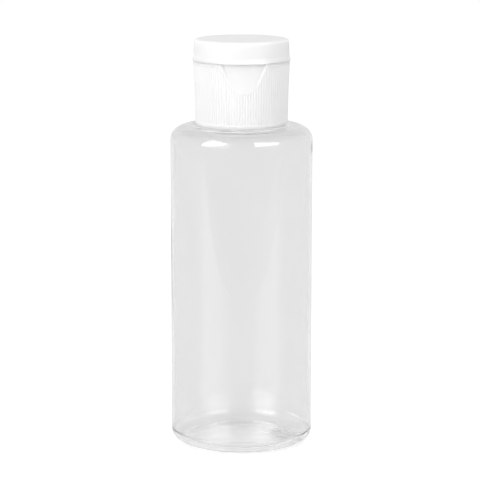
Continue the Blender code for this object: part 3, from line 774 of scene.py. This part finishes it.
def bottle_profile(sizes):
    """From the gate mark under the base up the outside, over the lip and down the inside."""
    top = BOTTLE_BOX[1].z
    ring = sizes.body_radius - sizes.heel_width - sizes.ring_width
    wall_top = sizes.shoulder_top - sizes.shoulder_drop
    bore = sizes.neck_radius - sizes.neck_wall

    def push_up(radius):
        return sizes.push_up_rise * (1 - (radius / ring) ** sizes.push_up_power)

    def gate_mark(radius):
        return sizes.gate_drop * math.cos(math.pi / 2 * min(1.0, radius / sizes.gate_radius)) ** 2

    def heel(wall, floor, rise):
        center = (sizes.body_radius - sizes.heel_width, rise)
        return super_corner(center, sizes.heel_width - wall, floor - rise, sizes.heel_power)

    def shoulder(wall):
        center = (sizes.body_radius - sizes.shoulder_width, wall_top)
        width = sizes.shoulder_width - wall
        return super_corner(center, width, sizes.shoulder_drop - wall, sizes.shoulder_power)

    profile = Profile()
    gate = push_up(0.0) - sizes.gate_drop
    fine = [radius for radius, _ in run((POLE_RADIUS, 0.0), (ring, 0.0), BASE_ROW)]
    profile.add([(0.0, gate), (POLE_RADIUS / 2, gate)], step=POLE_STEP)
    outer = [(radius, push_up(radius) - gate_mark(radius)) for radius in fine] + [(ring, 0.0)]
    outer += heel(0.0, 0.0, sizes.heel_rise)[::-1]
    line_low = (sizes.body_radius, sizes.insert_line - sizes.insert_width / 2)
    line = ridge(line_low, sizes.insert_width, -sizes.insert_depth, 2)
    outer += line
    outer += run(line[-1], (sizes.body_radius, wall_top), 4 * WALL_ROW)[1:]
    outer += shoulder(0.0)
    fillet = sizes.neck_root_fillet
    root = (sizes.neck_radius + fillet, shoulder_at(sizes, sizes.neck_radius + fillet) + fillet)
    profile.add(outer + arc(root, fillet, 270, 180))

    lip = sizes.lip_round
    neck = run((sizes.neck_radius, root[1]), (sizes.neck_radius, top - lip), NECK_THREAD_ROW)[1:]
    profile.add(neck, thread=1)
    over = arc((sizes.neck_radius - lip, top - lip), lip, 0, 90)
    over += arc((bore + lip, top - lip), lip, 90, 180)
    throat = sizes.neck_inner_fillet
    ceiling = shoulder_at(sizes, bore) - sizes.body_wall
    over += arc((bore + throat, ceiling + throat), throat, 180, 270)
    profile.add(over + shoulder(sizes.body_wall)[::-1])

    inner = sizes.body_radius - sizes.body_wall
    profile.add(run((inner, wall_top), (inner, sizes.inner_heel_rise), WALL_ROW)[1:], ripple=1)
    inner_heel = heel(sizes.body_wall, sizes.base_wall, sizes.inner_heel_rise)[:-1]
    profile.add(inner_heel, ripple=1, crinkle=CRINKLE_ON_HEEL_SHARE)
    inside = [(radius, push_up(radius) + sizes.base_wall) for radius in [ring, *fine[::-1]]]
    profile.add(inside, ripple=WAVES_ON_BASE_SHARE, crinkle=1)
    top_of_base = push_up(0.0) + sizes.base_wall
    profile.add([(POLE_RADIUS / 2, top_of_base), (0.0, top_of_base)], step=POLE_STEP)
    return profile


def washer_profile(sizes):
    """The liner ring with its slightly pressed edges."""
    low, high = WASHER_BOX
    edge = sizes.edge
    inner = sizes.inner_radius + edge
    outer = high.x - edge
    foot = low.z + edge
    top = high.z - edge
    profile = Profile()
    for center, start in (((inner, foot), 180), ((outer, foot), 270), ((outer, top), 0), ((inner, top), 90)):
        profile.add(arc(center, edge, start, start + 90, EDGE_STEPS))
    return profile


def closure_profile(sizes, bottle):
    """Outside of the skirt, ledge, deck, spout and orifice, then back down the skirt's inside."""
    foot = CLOSURE_BOX[0].z + sizes.bevel
    spout_top = CLOSURE_BOX[1].z
    inner = sizes.inner_radius
    soft = sizes.foot_round

    def skirt(height):
        swell = sizes.head_swell * max(0.0, (height - LEDGE) / sizes.head_rise + 1) ** 2
        return (sizes.foot_radius + sizes.flare * (height - foot) / (LEDGE - foot) + swell, height)

    def low_at(radius):
        return shoulder_at(bottle, radius) + sizes.foot_gap

    profile = Profile()
    inner_foot = (inner + soft, low_at(inner) + soft)
    profile.add(arc(inner_foot, soft, 180, 270, EDGE_STEPS), step=SKIRT_INSIDE_STEP)

    tilt = math.atan2(sizes.bevel_inset, sizes.bevel)
    lean = sizes.edge * math.sin(tilt)
    sloping = 360 - math.degrees(tilt)
    corner = arc((sizes.foot_radius - sizes.edge, foot + lean), sizes.edge, sloping, 360)
    reach = corner[0][0] - sizes.bevel_inset - soft * math.cos(tilt)
    ribs_low = foot + sizes.rib_foot_band
    ribs_high = ribs_low + sizes.rib_end
    recess_low = LEDGE - sizes.recess_drop - SKIRT_ROW
    rim_low = LEDGE - sizes.rim_round
    outer = arc((reach, low_at(reach) + soft), soft, 270, sloping, EDGE_STEPS)
    outer += corner
    outer += run(skirt(foot + lean), skirt(ribs_low), 2 * RECESS_ROW)[1:]
    outer += run(skirt(ribs_low), skirt(ribs_high), RECESS_ROW / 2)
    outer += run(skirt(ribs_high), skirt(recess_low), SKIRT_ROW)
    outer += run(skirt(recess_low), skirt(rim_low), RECESS_ROW)
    head = skirt(rim_low)[0]
    outer += arc((head - sizes.rim_round, rim_low), sizes.rim_round, 0, 90, EDGE_STEPS)
    seat = LEDGE + sizes.seat_height
    outer += [(head - sizes.seat_inset, LEDGE), (head - sizes.seat_inset, seat)]
    profile.add(outer, outside=1)

    platform = sizes.platform_radius
    catch_low = (LID_BOX[0].z + sizes.platform_top - sizes.catch_height) / 2
    rim = (platform - sizes.platform_edge, sizes.platform_top - sizes.platform_edge)
    deck = [(platform, seat)]
    deck += ridge((platform, catch_low), sizes.catch_height, sizes.catch_depth, 1)
    deck += arc(rim, sizes.platform_edge, 0, 90)[1:]
    profile.add(deck, step=SKIRT_INSIDE_STEP)

    fillet = sizes.spout_fillet
    flare = sizes.orifice_flare
    spout_rim = (sizes.spout_radius - sizes.spout_round, spout_top - sizes.spout_round)
    spout = [(platform * DISC_RING_SHARE, sizes.platform_top)]
    spout += arc((sizes.spout_radius + fillet, sizes.platform_top + fillet), fillet, 270, 180)
    spout += arc(spout_rim, sizes.spout_round, 0, 90)
    spout += arc((sizes.orifice_radius + flare, spout_top - flare), flare, 90, 180)
    spout += [(sizes.orifice_radius, sizes.deck_bottom), (inner * DISC_RING_SHARE, sizes.deck_bottom)]
    profile.add(spout, step=SPOUT_STEP)

    under = (inner, sizes.deck_bottom)
    profile.add([under], step=SKIRT_INSIDE_STEP)
    threaded = run(under, (inner, inner_foot[1]), CLOSURE_THREAD_ROW)[1:]
    profile.add(threaded, step=SKIRT_INSIDE_STEP, thread=1)
    return profile


def lid_profile(sizes):
    """From the plug's tip under the ceiling, down the inside, and up the outside to the middle of the top."""
    bottom = LID_BOX[0].z
    top = LID_BOX[1].z
    ceiling = top - sizes.top_wall
    spout_top = CLOSURE_BOX[1].z
    half_tip = sizes.plug_radius * sizes.plug_tip / 2
    tip_height = spout_top - sizes.plug_reach
    fillet = sizes.plug_fillet
    inner = sizes.inner_radius

    def wall(height):
        away = min(1.0, abs(height - bottom - sizes.bead_middle) / sizes.bead_reach)
        swell = sizes.bead_depth * math.cos(math.pi / 2 * away) ** 2
        return sizes.radius - sizes.draft * (height - bottom) / (top - bottom) + swell

    profile = Profile()
    plug = [(0.0, tip_height), (half_tip, tip_height)]
    plug += arc((half_tip, tip_height + half_tip), half_tip, 270, 360)[1:]
    plug += [(sizes.plug_radius, spout_top)]
    plug += arc((sizes.plug_radius + fillet, ceiling - fillet), fillet, 180, 90)
    profile.add(plug + [(inner * DISC_RING_SHARE, ceiling)], step=PLUG_STEP)

    hollow = arc((inner - sizes.inner_round, ceiling - sizes.inner_round), sizes.inner_round, 90, 0)
    profile.add(hollow + [(inner, bottom)], step=CEILING_STEP)

    foot = sizes.foot_round
    shoulder = top - sizes.top_round
    heights = [height for _, height in run((0.0, bottom + foot), (0.0, shoulder), PAD_ROW)[1:]]
    rim = (wall(shoulder) - sizes.top_round, shoulder)
    outer = arc((wall(bottom + foot) - foot, bottom + foot), foot, 270, 360)
    outer += [(wall(height), height) for height in heights]
    outer += arc(rim, sizes.top_round, 0, 90, ROUND_STEPS)
    profile.add(outer, outside=1)

    dished = [(rim[0] * share, top - sizes.top_dish * (1 - share**2)) for share in DISH_SHARES]
    profile.add(dished + [(0.0, top - sizes.top_dish)], step=CEILING_STEP)
    return profile


# Finishes


def new_material(name):
    """A material with a Principled shader and the piece's own coordinates."""
    made = bpy.data.materials.new(name)
    made.use_nodes = True
    tree = made.node_tree
    return made, tree, tree.nodes["Principled BSDF"], add_node(tree, "ShaderNodeTexCoord").outputs["Object"]


def noise(tree, place, scale, detail=2.0, stretch=(1.0, 1.0, 1.0)):
    """Soft noise on the piece's own coordinates, from 0 to 1."""
    mapping = add_node(tree, "ShaderNodeMapping", {"Vector": place, "Scale": stretch}).outputs[0]
    found = add_node(tree, "ShaderNodeTexNoise", {"Vector": mapping, "Scale": scale, "Detail": detail})
    return Term(tree, found.outputs[0])


def bump(tree, height, depth, normal=None):
    """Bump whose height of 0 to 1 stands for that depth."""
    inputs = {"Height": height, "Distance": depth, "Strength": 1.0}
    if normal:
        inputs["Normal"] = normal
    return add_node(tree, "ShaderNodeBump", inputs).outputs[0]


def shaded(tree, color, share):
    """A colour multiplied by a number. The Mix node's colours go in at 6 and 7 and come out at 2."""
    grey = add_node(tree, "ShaderNodeCombineColor", {"Red": share, "Green": share, "Blue": share}).outputs[0]
    node = add_node(tree, "ShaderNodeMix", data_type="RGBA", blend_type="MULTIPLY")
    plug_all(node, {"Factor": 1.0, 6: (*color, 1.0), 7: grey})
    return node.outputs[2]


def show(tree, shader):
    """Send a shader to the material's output."""
    plug(tree.nodes["Material Output"].inputs["Surface"], shader.outputs[0])


def let_lamps_through(tree, shader, color):
    """Lamps shine through the plastic and leave a light shadow in that colour, once for each surface."""
    to_lamp = add_node(tree, "ShaderNodeLightPath").outputs["Is Shadow Ray"]
    clear = add_node(tree, "ShaderNodeBsdfTransparent", {"Color": (*color, 1.0)}).outputs[0]
    show(tree, add_node(tree, "ShaderNodeMixShader", {0: to_lamp, 1: shader.outputs[0], 2: clear}))


def clear_plastic(finish):
    """Blown clear plastic: faintly grey, with haze and streaks, painted light on base and neck, and painted
    shade on the crinkled marks in its base.
    """
    made, tree, shader, place = new_material("clear_bottle_plastic")
    cloud = noise(tree, place, 60.0, stretch=(1.0, 1.0, 0.35))
    streak = noise(tree, place, 420.0, stretch=(1.0, 1.0, 0.03))
    scuff = noise(tree, place, 900.0, detail=3.0)
    marks = noise(tree, place, 900.0, detail=3.0, stretch=(0.35, 1.0, 1.0))
    grazing = Term(tree, add_node(tree, "ShaderNodeLayerWeight").outputs["Facing"])
    x, y, z = axes_of(tree, place)
    radius = diagonal(x, y)
    # Painted light: base and the shoulder round the neck are lightened in colour, to offset the shade seen
    # through them
    base = fade(z, *BASE_FADE) * fade(radius, *BASE_RIM_FADE)
    neck = smooth(z, *NECK_FADE) * fade(radius, *NECK_ROOT_FADE)
    # Painted shade: darker patches over the base's crinkles, towards its front right
    near_marks = fade(diagonal(x - MARKS_PLACE[0], y - MARKS_PLACE[1]), *MARKS_FADE)
    painted_marks = smooth(marks, 0.36, 0.62) * near_marks * fade(z, *MARKS_TOP_FADE)
    share = smooth(cloud, 0.25, 0.75, 0.985, 1.0) * smooth(grazing, 0.7, 1.0, 1.0, finish.clear_edge)
    share = share * mix(1.0, finish.ends_painted_light, base + neck) * mix(1.0, finish.mark_painted_shade, painted_marks)
    haze = finish.clear_roughness
    inputs = {
        "Base Color": shaded(tree, finish.clear_tint, share),
        "Roughness": smooth(scuff, 0.45, 0.8, haze * 0.6, haze * 1.6),
        "Transmission Weight": 1.0,
        "IOR": finish.clear_ior,
        "Normal": bump(tree, streak, 0.006 * MM, bump(tree, cloud, 0.12 * MM)),
    }
    plug_all(shader, inputs)
    let_lamps_through(tree, shader, finish.clear_shadow)
    return made


def white_plastic(finish):
    """White moulded plastic: satin, translucent, finely grained, with painted shade in its grooves and
    smoother crests.
    """
    made, tree, shader, place = new_material("white_closure_plastic")
    cloud = noise(tree, place, 90.0, detail=3.0)
    grain = noise(tree, place, 9000.0)
    flow = noise(tree, place, 260.0, stretch=(1.0, 1.0, 0.12))
    edge = Term(tree, add_node(tree, "ShaderNodeNewGeometry").outputs["Pointiness"])
    # The cloud is the plastic's own uneven tone; low pointiness darkens the grooves as painted shade
    share = smooth(cloud, 0.2, 0.8, 0.98, 1.0) * smooth(edge, 0.42, 0.52, finish.groove_painted_shade, 1.0)
    rough = finish.white_roughness
    satin = smooth(flow, 0.2, 0.8, rough - 0.04, rough + 0.05)
    inputs = {
        "Base Color": shaded(tree, finish.white_tint, share),
        "Roughness": satin - smooth(edge, 0.5, 0.62, 0.0, 0.08),
        "Subsurface Weight": 1.0,
        "Subsurface Radius": (1.0, 1.0, 1.0),
        "Subsurface Scale": finish.white_depth,
        "IOR": finish.white_ior,
        "Normal": bump(tree, grain, 0.004 * MM, bump(tree, flow, 0.010 * MM)),
    }
    plug_all(shader, inputs)
    return made


def liner_foam(finish):
    """Foamed liner: matt, off-white, with closed cells."""
    made, tree, shader, place = new_material("liner_foam")
    cells = add_node(tree, "ShaderNodeTexVoronoi", {"Vector": place, "Scale": 3200.0})
    distance = Term(tree, cells.outputs["Distance"])
    inputs = {
        "Base Color": shaded(tree, finish.foam_tint, smooth(distance, 0.0, 0.7, 0.9, 1.0)),
        "Roughness": smooth(distance, 0.0, 0.8, 0.7, 0.55),
        "Subsurface Weight": 0.2,
        "Subsurface Scale": finish.foam_depth,
        "Normal": bump(tree, distance, 0.06 * MM),
    }
    plug_all(shader, inputs)
    return made


def finish_of(name):
    """A finish by its material's name, made the first time that a piece asks for it."""
    makers = {
        "clear_bottle_plastic": clear_plastic,
        "white_closure_plastic": white_plastic,
        "liner_foam": liner_foam,
    }
    found = bpy.data.materials.get(name)
    return found or makers[name](bpy.context.scene.flip_top_bottle.finish)


# Sizes that the trees take


def sizes_of(group, *names):
    """Properties of a group, each under its own label."""
    return {group.bl_rna.properties[name].name: getattr(group, name) for name in names}


def thread_sizes(thread, turns, root, crest, depth):
    """A helical ridge that starts at the height of the neck's thread."""
    end = BOTTLE_BOX[1].z - thread.land - thread.root_width / 2
    return {
        **sizes_of(thread, "pitch", "runout"),
        "Turns": turns,
        "Thread Root": root,
        "Thread Crest": crest,
        "Thread Depth": depth,
        "Thread Start": end - thread.pitch * thread.neck_turns,
    }


def neck_thread_sizes(thread):
    return thread_sizes(thread, thread.neck_turns, thread.root_width, thread.crest_width, thread.depth)


def closure_thread_sizes(thread, inner_radius, neck_radius):
    """The closure's thread, which fills the neck's but for the clearance on crest and flanks."""
    crest_radius = neck_radius + thread.crest_gap
    slope = (thread.root_width - thread.crest_width) / thread.depth

    def width_at(radius):
        neck_width = thread.crest_width + slope * (neck_radius + thread.depth - radius)
        return thread.pitch - 2 * thread.flank_gap - neck_width

    root = width_at(inner_radius)
    crest = width_at(crest_radius)
    return {
        **thread_sizes(thread, thread.closure_turns, root, crest, inner_radius - crest_radius),
        **sizes_of(thread, "closure_start"),
    }


def skirt_sizes(closure):
    """The skirt with its ribs and thumb recess."""
    foot = CLOSURE_BOX[0].z + closure.bevel
    return {
        **sizes_of(closure, "flare", "rib_count", "rib_depth", "rib_end", "rib_foot_band", "rib_head_band"),
        **sizes_of(closure, "recess_half_width", "recess_drop", "recess_round"),
        **sizes_of(closure, "recess_depth", "recess_fade", "recess_edge"),
        "Ledge": LEDGE,
        "Foot": foot,
        "Skirt Height": LEDGE - foot,
        "Head Radius": closure.foot_radius + closure.flare,
    }


def pad_sizes(hinge, end):
    """The flat pad with its pockets. end is the property that says where its slope is."""
    return {
        **sizes_of(hinge, end, "pad_half_width", "pad_slope", "pocket_edge", "clearance"),
        **sizes_of(hinge, "strap_pocket", "spring_pocket"),
        "Pad Face": PAD_FACE,
        "Pivot Height": PIVOT.z,
        "Strap Inner": STRAP_BOX[0].x,
        "Strap Outer": STRAP_BOX[1].x,
        "Strap Reach": STRAP_BOX[1].z - PIVOT.z,
        "Spring Half Width": SPRING_BOX[1].x,
        "Spring Reach": SPRING_BOX[1].z - PIVOT.z,
    }


# Film hinge


def hinge_band(name, box, foot, crown, foot_thickness, crown_thickness):
    """A film band bowed out from its pockets to the pivot line, with rounded long edges."""
    low, high = box
    middle = (low.x + high.x) / 2
    half_width = (high.x - low.x) / 2
    bm = bmesh.new()
    rings = []
    for i in range(BAND_STEPS + 1):
        along = 2 * i / BAND_STEPS - 1
        bow = math.cos(math.pi / 2 * along) ** 2
        y = foot + (crown - foot) * bow
        half = (foot_thickness + (crown_thickness - foot_thickness) * bow) / 2
        z = PIVOT.z + (high.z - PIVOT.z) * along
        right = arc((middle + half_width - half, y), half, -90, 90)
        left = arc((middle - half_width + half, y), half, 90, 270)
        rings.append([bm.verts.new((*corner, z)) for corner in right + left])
    for lower, upper in zip(rings, rings[1:]):
        for i in range(len(lower)):
            j = (i + 1) % len(lower)
            bm.faces.new((lower[i], lower[j], upper[j], upper[i]))
    bm.faces.new(rings[0][::-1])
    bm.faces.new(rings[-1])
    mesh = bpy.data.meshes.new(name)
    bm.to_mesh(mesh)
    bm.free()
    mesh.materials.append(finish_of("white_closure_plastic"))
    return close_up(link(name, mesh))


# Stage


def add_lamp(name, azimuth, elevation, size, brightness, swing=0, roll=0, mirrored=False):
    """A soft rectangular lamp round the bottle's middle, which is either mirrored in it or lights it."""
    target = Vector((0.0, 0.0, BOTTLE_BOX[1].z / 2))
    around = math.radians(azimuth)
    lift = math.radians(elevation)
    flat = math.cos(lift)
    towards = Vector((math.sin(around) * flat, -math.cos(around) * flat, math.sin(lift)))
    data = bpy.data.lights.new(name, "AREA")
    data.shape = "RECTANGLE"
    data.size, data.size_y = size
    data.energy = brightness * math.pi * size[0] * size[1]
    lamp = link(name, data)
    lamp.location = target + towards * LAMP_DISTANCE
    facing = (-towards).to_track_quat("-Z", "Y").to_matrix()
    turned = Matrix.Rotation(math.radians(roll), 3, "Z") @ Matrix.Rotation(math.radians(swing), 3, "Y")
    lamp.rotation_euler = (facing @ turned).to_euler()
    lamp.visible_glossy = mirrored
    lamp.visible_diffuse = not mirrored


def build_lamps():
    """Two softboxes that light the bottle and two panels that are mirrored in it, with angles in degrees."""
    add_lamp("key_softbox", azimuth=-43, elevation=18, size=(0.8, 0.9), brightness=2.36)
    add_lamp("fill_softbox", azimuth=43, elevation=18, size=(0.7, 0.9), brightness=1.07)
    panel = {"brightness": 3.2, "mirrored": True}
    add_lamp("key_panel", azimuth=-43, elevation=26, size=(1.08, 0.72), swing=-58, roll=-12, **panel)
    add_lamp("fill_panel", azimuth=49, elevation=24, size=(1.1, 0.52), swing=-52, roll=-15, **panel)


def ways_seen(tree):
    """Two terms: 1 where the camera sees a place, through clear plastic too, and 1 where it is mirrored."""
    path = add_node(tree, "ShaderNodeLightPath")
    kinds = ("Camera", "Transmission", "Glossy")
    camera, through, mirrored = (Term(tree, path.outputs[f"Is {kind} Ray"]) for kind in kinds)
    return largest(camera, through), mirrored


def build_world(stage):
    """White where it is seen, darker behind the camera where it is mirrored, and even light elsewhere."""
    world = bpy.data.worlds.new("studio")
    bpy.context.scene.world = world
    world.use_nodes = True
    tree = world.node_tree
    _, ahead, up = axes_of(tree, add_node(tree, "ShaderNodeTexCoord").outputs["Generated"])
    seen, mirrored = ways_seen(tree)
    side = smooth(ahead, -0.55, 0.25, stage.studio_front, stage.studio_back)
    room = mix(1.0, side, smooth(up, -HORIZON, HORIZON)) * smooth(up, 0.25, 0.75, 1.0, stage.studio_top)
    room = mix(room, stage.studio_front, smooth(ahead, 0.0, -0.3) * smooth(up, HORIZON, -HORIZON))
    even = smooth(up, 0.2, 1.0, stage.ambient, stage.ambient_top)
    level = mix(mix(even, room, mirrored), 1.0, seen)
    plug_all(tree.nodes["Background"], {"Color": (1.0, 1.0, 1.0, 1.0), "Strength": level})


def table_finish(stage):
    """Pale and slightly glossy, with white added where the camera sees it, less towards its front edge."""
    made, tree, shader, place = new_material("pale_table")
    speckle = smooth(noise(tree, place, 60.0, detail=3.0), 0.2, 0.8, 0.99, 1.0)
    color = shaded(tree, stage.table_tint, speckle)
    plug_all(shader, {"Base Color": color, "Roughness": stage.table_roughness})
    seen, mirrored = ways_seen(tree)
    front = stage.table_front
    behind = axes_of(tree, place)[1]
    white = smooth(behind, -front, 2 * front, stage.table_front_glow, stage.table_glow)
    white = white * smooth(behind, -front, front * -0.15, stage.table_edge_share, 1.0)
    strength = largest(seen * white, mirrored * stage.table_sheen)
    glow = add_node(tree, "ShaderNodeEmission", {"Strength": strength}).outputs[0]
    show(tree, add_node(tree, "ShaderNodeAddShader", {0: shader.outputs[0], 1: glow}))
    return made


def build_table(stage):
    """A table top with a rounded front edge."""
    front = TABLE_BEND - stage.table_front
    outline = [(TABLE_BACK, -TABLE_GAP)]
    outline += arc((front, -TABLE_GAP - TABLE_BEND), TABLE_BEND, 90, 180, 2 * EDGE_STEPS)
    outline += [(-stage.table_front, -TABLE_GAP - TABLE_THICKNESS)]
    bm = bmesh.new()
    sides = (-TABLE_HALF_WIDTH, TABLE_HALF_WIDTH)
    left, right = ([bm.verts.new((x, y, z)) for y, z in outline] for x in sides)
    for i in range(len(outline) - 1):
        bm.faces.new((left[i], left[i + 1], right[i + 1], right[i]))
    bmesh.ops.recalc_face_normals(bm, faces=bm.faces)
    mesh = bpy.data.meshes.new("table")
    bm.to_mesh(mesh)
    bm.free()
    mesh.shade_smooth()
    mesh.materials.append(table_finish(stage))
    link("table", mesh)


def build_camera(stage):
    data = bpy.data.cameras.new("photo_camera")
    data.lens = stage.camera_lens
    camera = link("photo_camera", data)
    around = stage.camera_azimuth
    distance = stage.camera_distance
    camera.location = (math.sin(around) * distance, -math.cos(around) * distance, stage.camera_height)
    camera.rotation_euler = (math.pi / 2 - stage.camera_pitch, 0.0, around + stage.camera_yaw)
    bpy.context.scene.camera = camera


# Operators


class BOTTLE_OT_stage(bpy.types.Operator):
    """Set up the camera, the pale table and the soft studio light"""

    bl_idname = "bottle.stage"
    bl_label = "Stage"

    def execute(self, context):
        stage = context.scene.flip_top_bottle.stage
        build_camera(stage)
        build_world(stage)
        build_table(stage)
        build_lamps()
        context.scene.view_settings.view_transform = "Standard"
        paths = context.scene.cycles
        paths.max_bounces = paths.glossy_bounces = paths.transmission_bounces = stage.clear_bounces
        paths.transparent_max_bounces = stage.clear_bounces
        return {"FINISHED"}


class BOTTLE_OT_blown_bottle(bpy.types.Operator):
    """Turn the clear bottle with its base, shoulder and threaded neck"""

    bl_idname = "bottle.blown_bottle"
    bl_label = "Blown Bottle"

    def execute(self, context):
        looks = context.scene.flip_top_bottle
        made = turn(
            "clear_bottle",
            bottle_profile(looks.bottle),
            BOTTLE_COLUMNS,
            finish_of("clear_bottle_plastic"),
            {**neck_thread_sizes(looks.thread), **sizes_of(looks.bottle, "ripple", "crinkle")},
            bottle_rule,
            base_lift,
        )
        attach(made, "bottle")
        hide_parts("bottle")
        return {"FINISHED"}


class BOTTLE_OT_liner(bpy.types.Operator):
    """Turn the sealing washer under the deck"""

    bl_idname = "bottle.liner"
    bl_label = "Sealing Washer"

    def execute(self, context):
        profile = washer_profile(context.scene.flip_top_bottle.washer)
        made = turn("liner_ring", profile, WASHER_COLUMNS, finish_of("liner_foam"), closed=True)
        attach(made, "seal")
        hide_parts("sealing_washer")
        return {"FINISHED"}


class BOTTLE_OT_closure(bpy.types.Operator):
    """Turn the ribbed closure with its thumb recess, hinge pad, deck and spout"""

    bl_idname = "bottle.closure"
    bl_label = "Ribbed Closure"

    def execute(self, context):
        looks = context.scene.flip_top_bottle
        closure = looks.closure
        made = turn(
            "ribbed_closure",
            closure_profile(closure, looks.bottle),
            closure.rib_count * COLUMNS_PER_RIB,
            finish_of("white_closure_plastic"),
            {
                **closure_thread_sizes(looks.thread, closure.inner_radius, looks.bottle.neck_radius),
                **pad_sizes(looks.hinge, "pad_drop"),
                **skirt_sizes(closure),
            },
            closure_rule,
            closed=True,
        )
        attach(made, "closure")
        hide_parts("closure_base")
        return {"FINISHED"}


class BOTTLE_OT_lid(bpy.types.Operator):
    """Turn the flip lid with its bead, hinge pad and sealing plug"""

    bl_idname = "bottle.lid"
    bl_label = "Flip Lid"

    def execute(self, context):
        looks = context.scene.flip_top_bottle
        made = turn(
            "flip_lid",
            lid_profile(looks.lid),
            LID_COLUMNS,
            finish_of("white_closure_plastic"),
            pad_sizes(looks.hinge, "lid_pad_top"),
            lid_rule,
        )
        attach(made, "lid")
        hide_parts("lid")
        return {"FINISHED"}


class BOTTLE_OT_hinge(bpy.types.Operator):
    """Make the two hinge straps and the sprung band between them"""

    bl_idname = "bottle.hinge"
    bl_label = "Film Hinge"

    def execute(self, context):
        hinge = context.scene.flip_top_bottle.hinge
        strap_foot = PAD_FACE - hinge.strap_pocket + hinge.strap_thickness / 2
        spring_foot = PAD_FACE - hinge.spring_pocket + hinge.film / 2
        strap = (strap_foot, PIVOT.y, hinge.strap_thickness, hinge.film)
        spring = (spring_foot, PIVOT.y + hinge.spring_proud, hinge.film, hinge.spring_thickness)
        for name, node, shape in (
            ("left_strap", "hinge_strap_left", strap),
            ("right_strap", "hinge_strap_right", strap),
            ("spring_band", "hinge_spring", spring),
        ):
            made = hinge_band(name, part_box(node), *shape)
            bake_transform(made)
            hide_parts(node)
        return {"FINISHED"}


class BOTTLE_PT_panel(bpy.types.Panel):
    """Lists the steps that build the bottle and its stage"""

    bl_idname = "BOTTLE_PT_panel"
    bl_label = "Flip-Top Bottle"
    bl_space_type = "VIEW_3D"
    bl_region_type = "UI"
    bl_category = "Bottle"

    def draw(self, context):
        looks = context.scene.flip_top_bottle
        for step in STEPS:
            self.layout.operator(step.bl_idname)
        for part in FlipTopBottle.__annotations__:
            group = getattr(looks, part)
            box = self.layout.box()
            box.label(text=part.title())
            for name in type(group).__annotations__:
                box.prop(group, name)


GROUPS = (
    BottleSizes,
    ThreadSizes,
    WasherSizes,
    ClosureSizes,
    LidSizes,
    HingeSizes,
    Finish,
    StageLook,
    FlipTopBottle,
)
STEPS = (
    BOTTLE_OT_stage,
    BOTTLE_OT_blown_bottle,
    BOTTLE_OT_liner,
    BOTTLE_OT_closure,
    BOTTLE_OT_lid,
    BOTTLE_OT_hinge,
)
CLASSES = (*GROUPS, *STEPS, BOTTLE_PT_panel)


def register():
    for kind in CLASSES:
        bpy.utils.register_class(kind)
    bpy.types.Scene.flip_top_bottle = PointerProperty(type=FlipTopBottle)


def unregister():
    del bpy.types.Scene.flip_top_bottle
    for kind in reversed(CLASSES):
        bpy.utils.unregister_class(kind)


def main():
    register()
    bpy.ops.bottle.stage()
    bpy.ops.bottle.blown_bottle()
    bpy.ops.bottle.liner()
    bpy.ops.bottle.closure()
    bpy.ops.bottle.lid()
    bpy.ops.bottle.hinge()


if __name__ == "__main__":
    main()
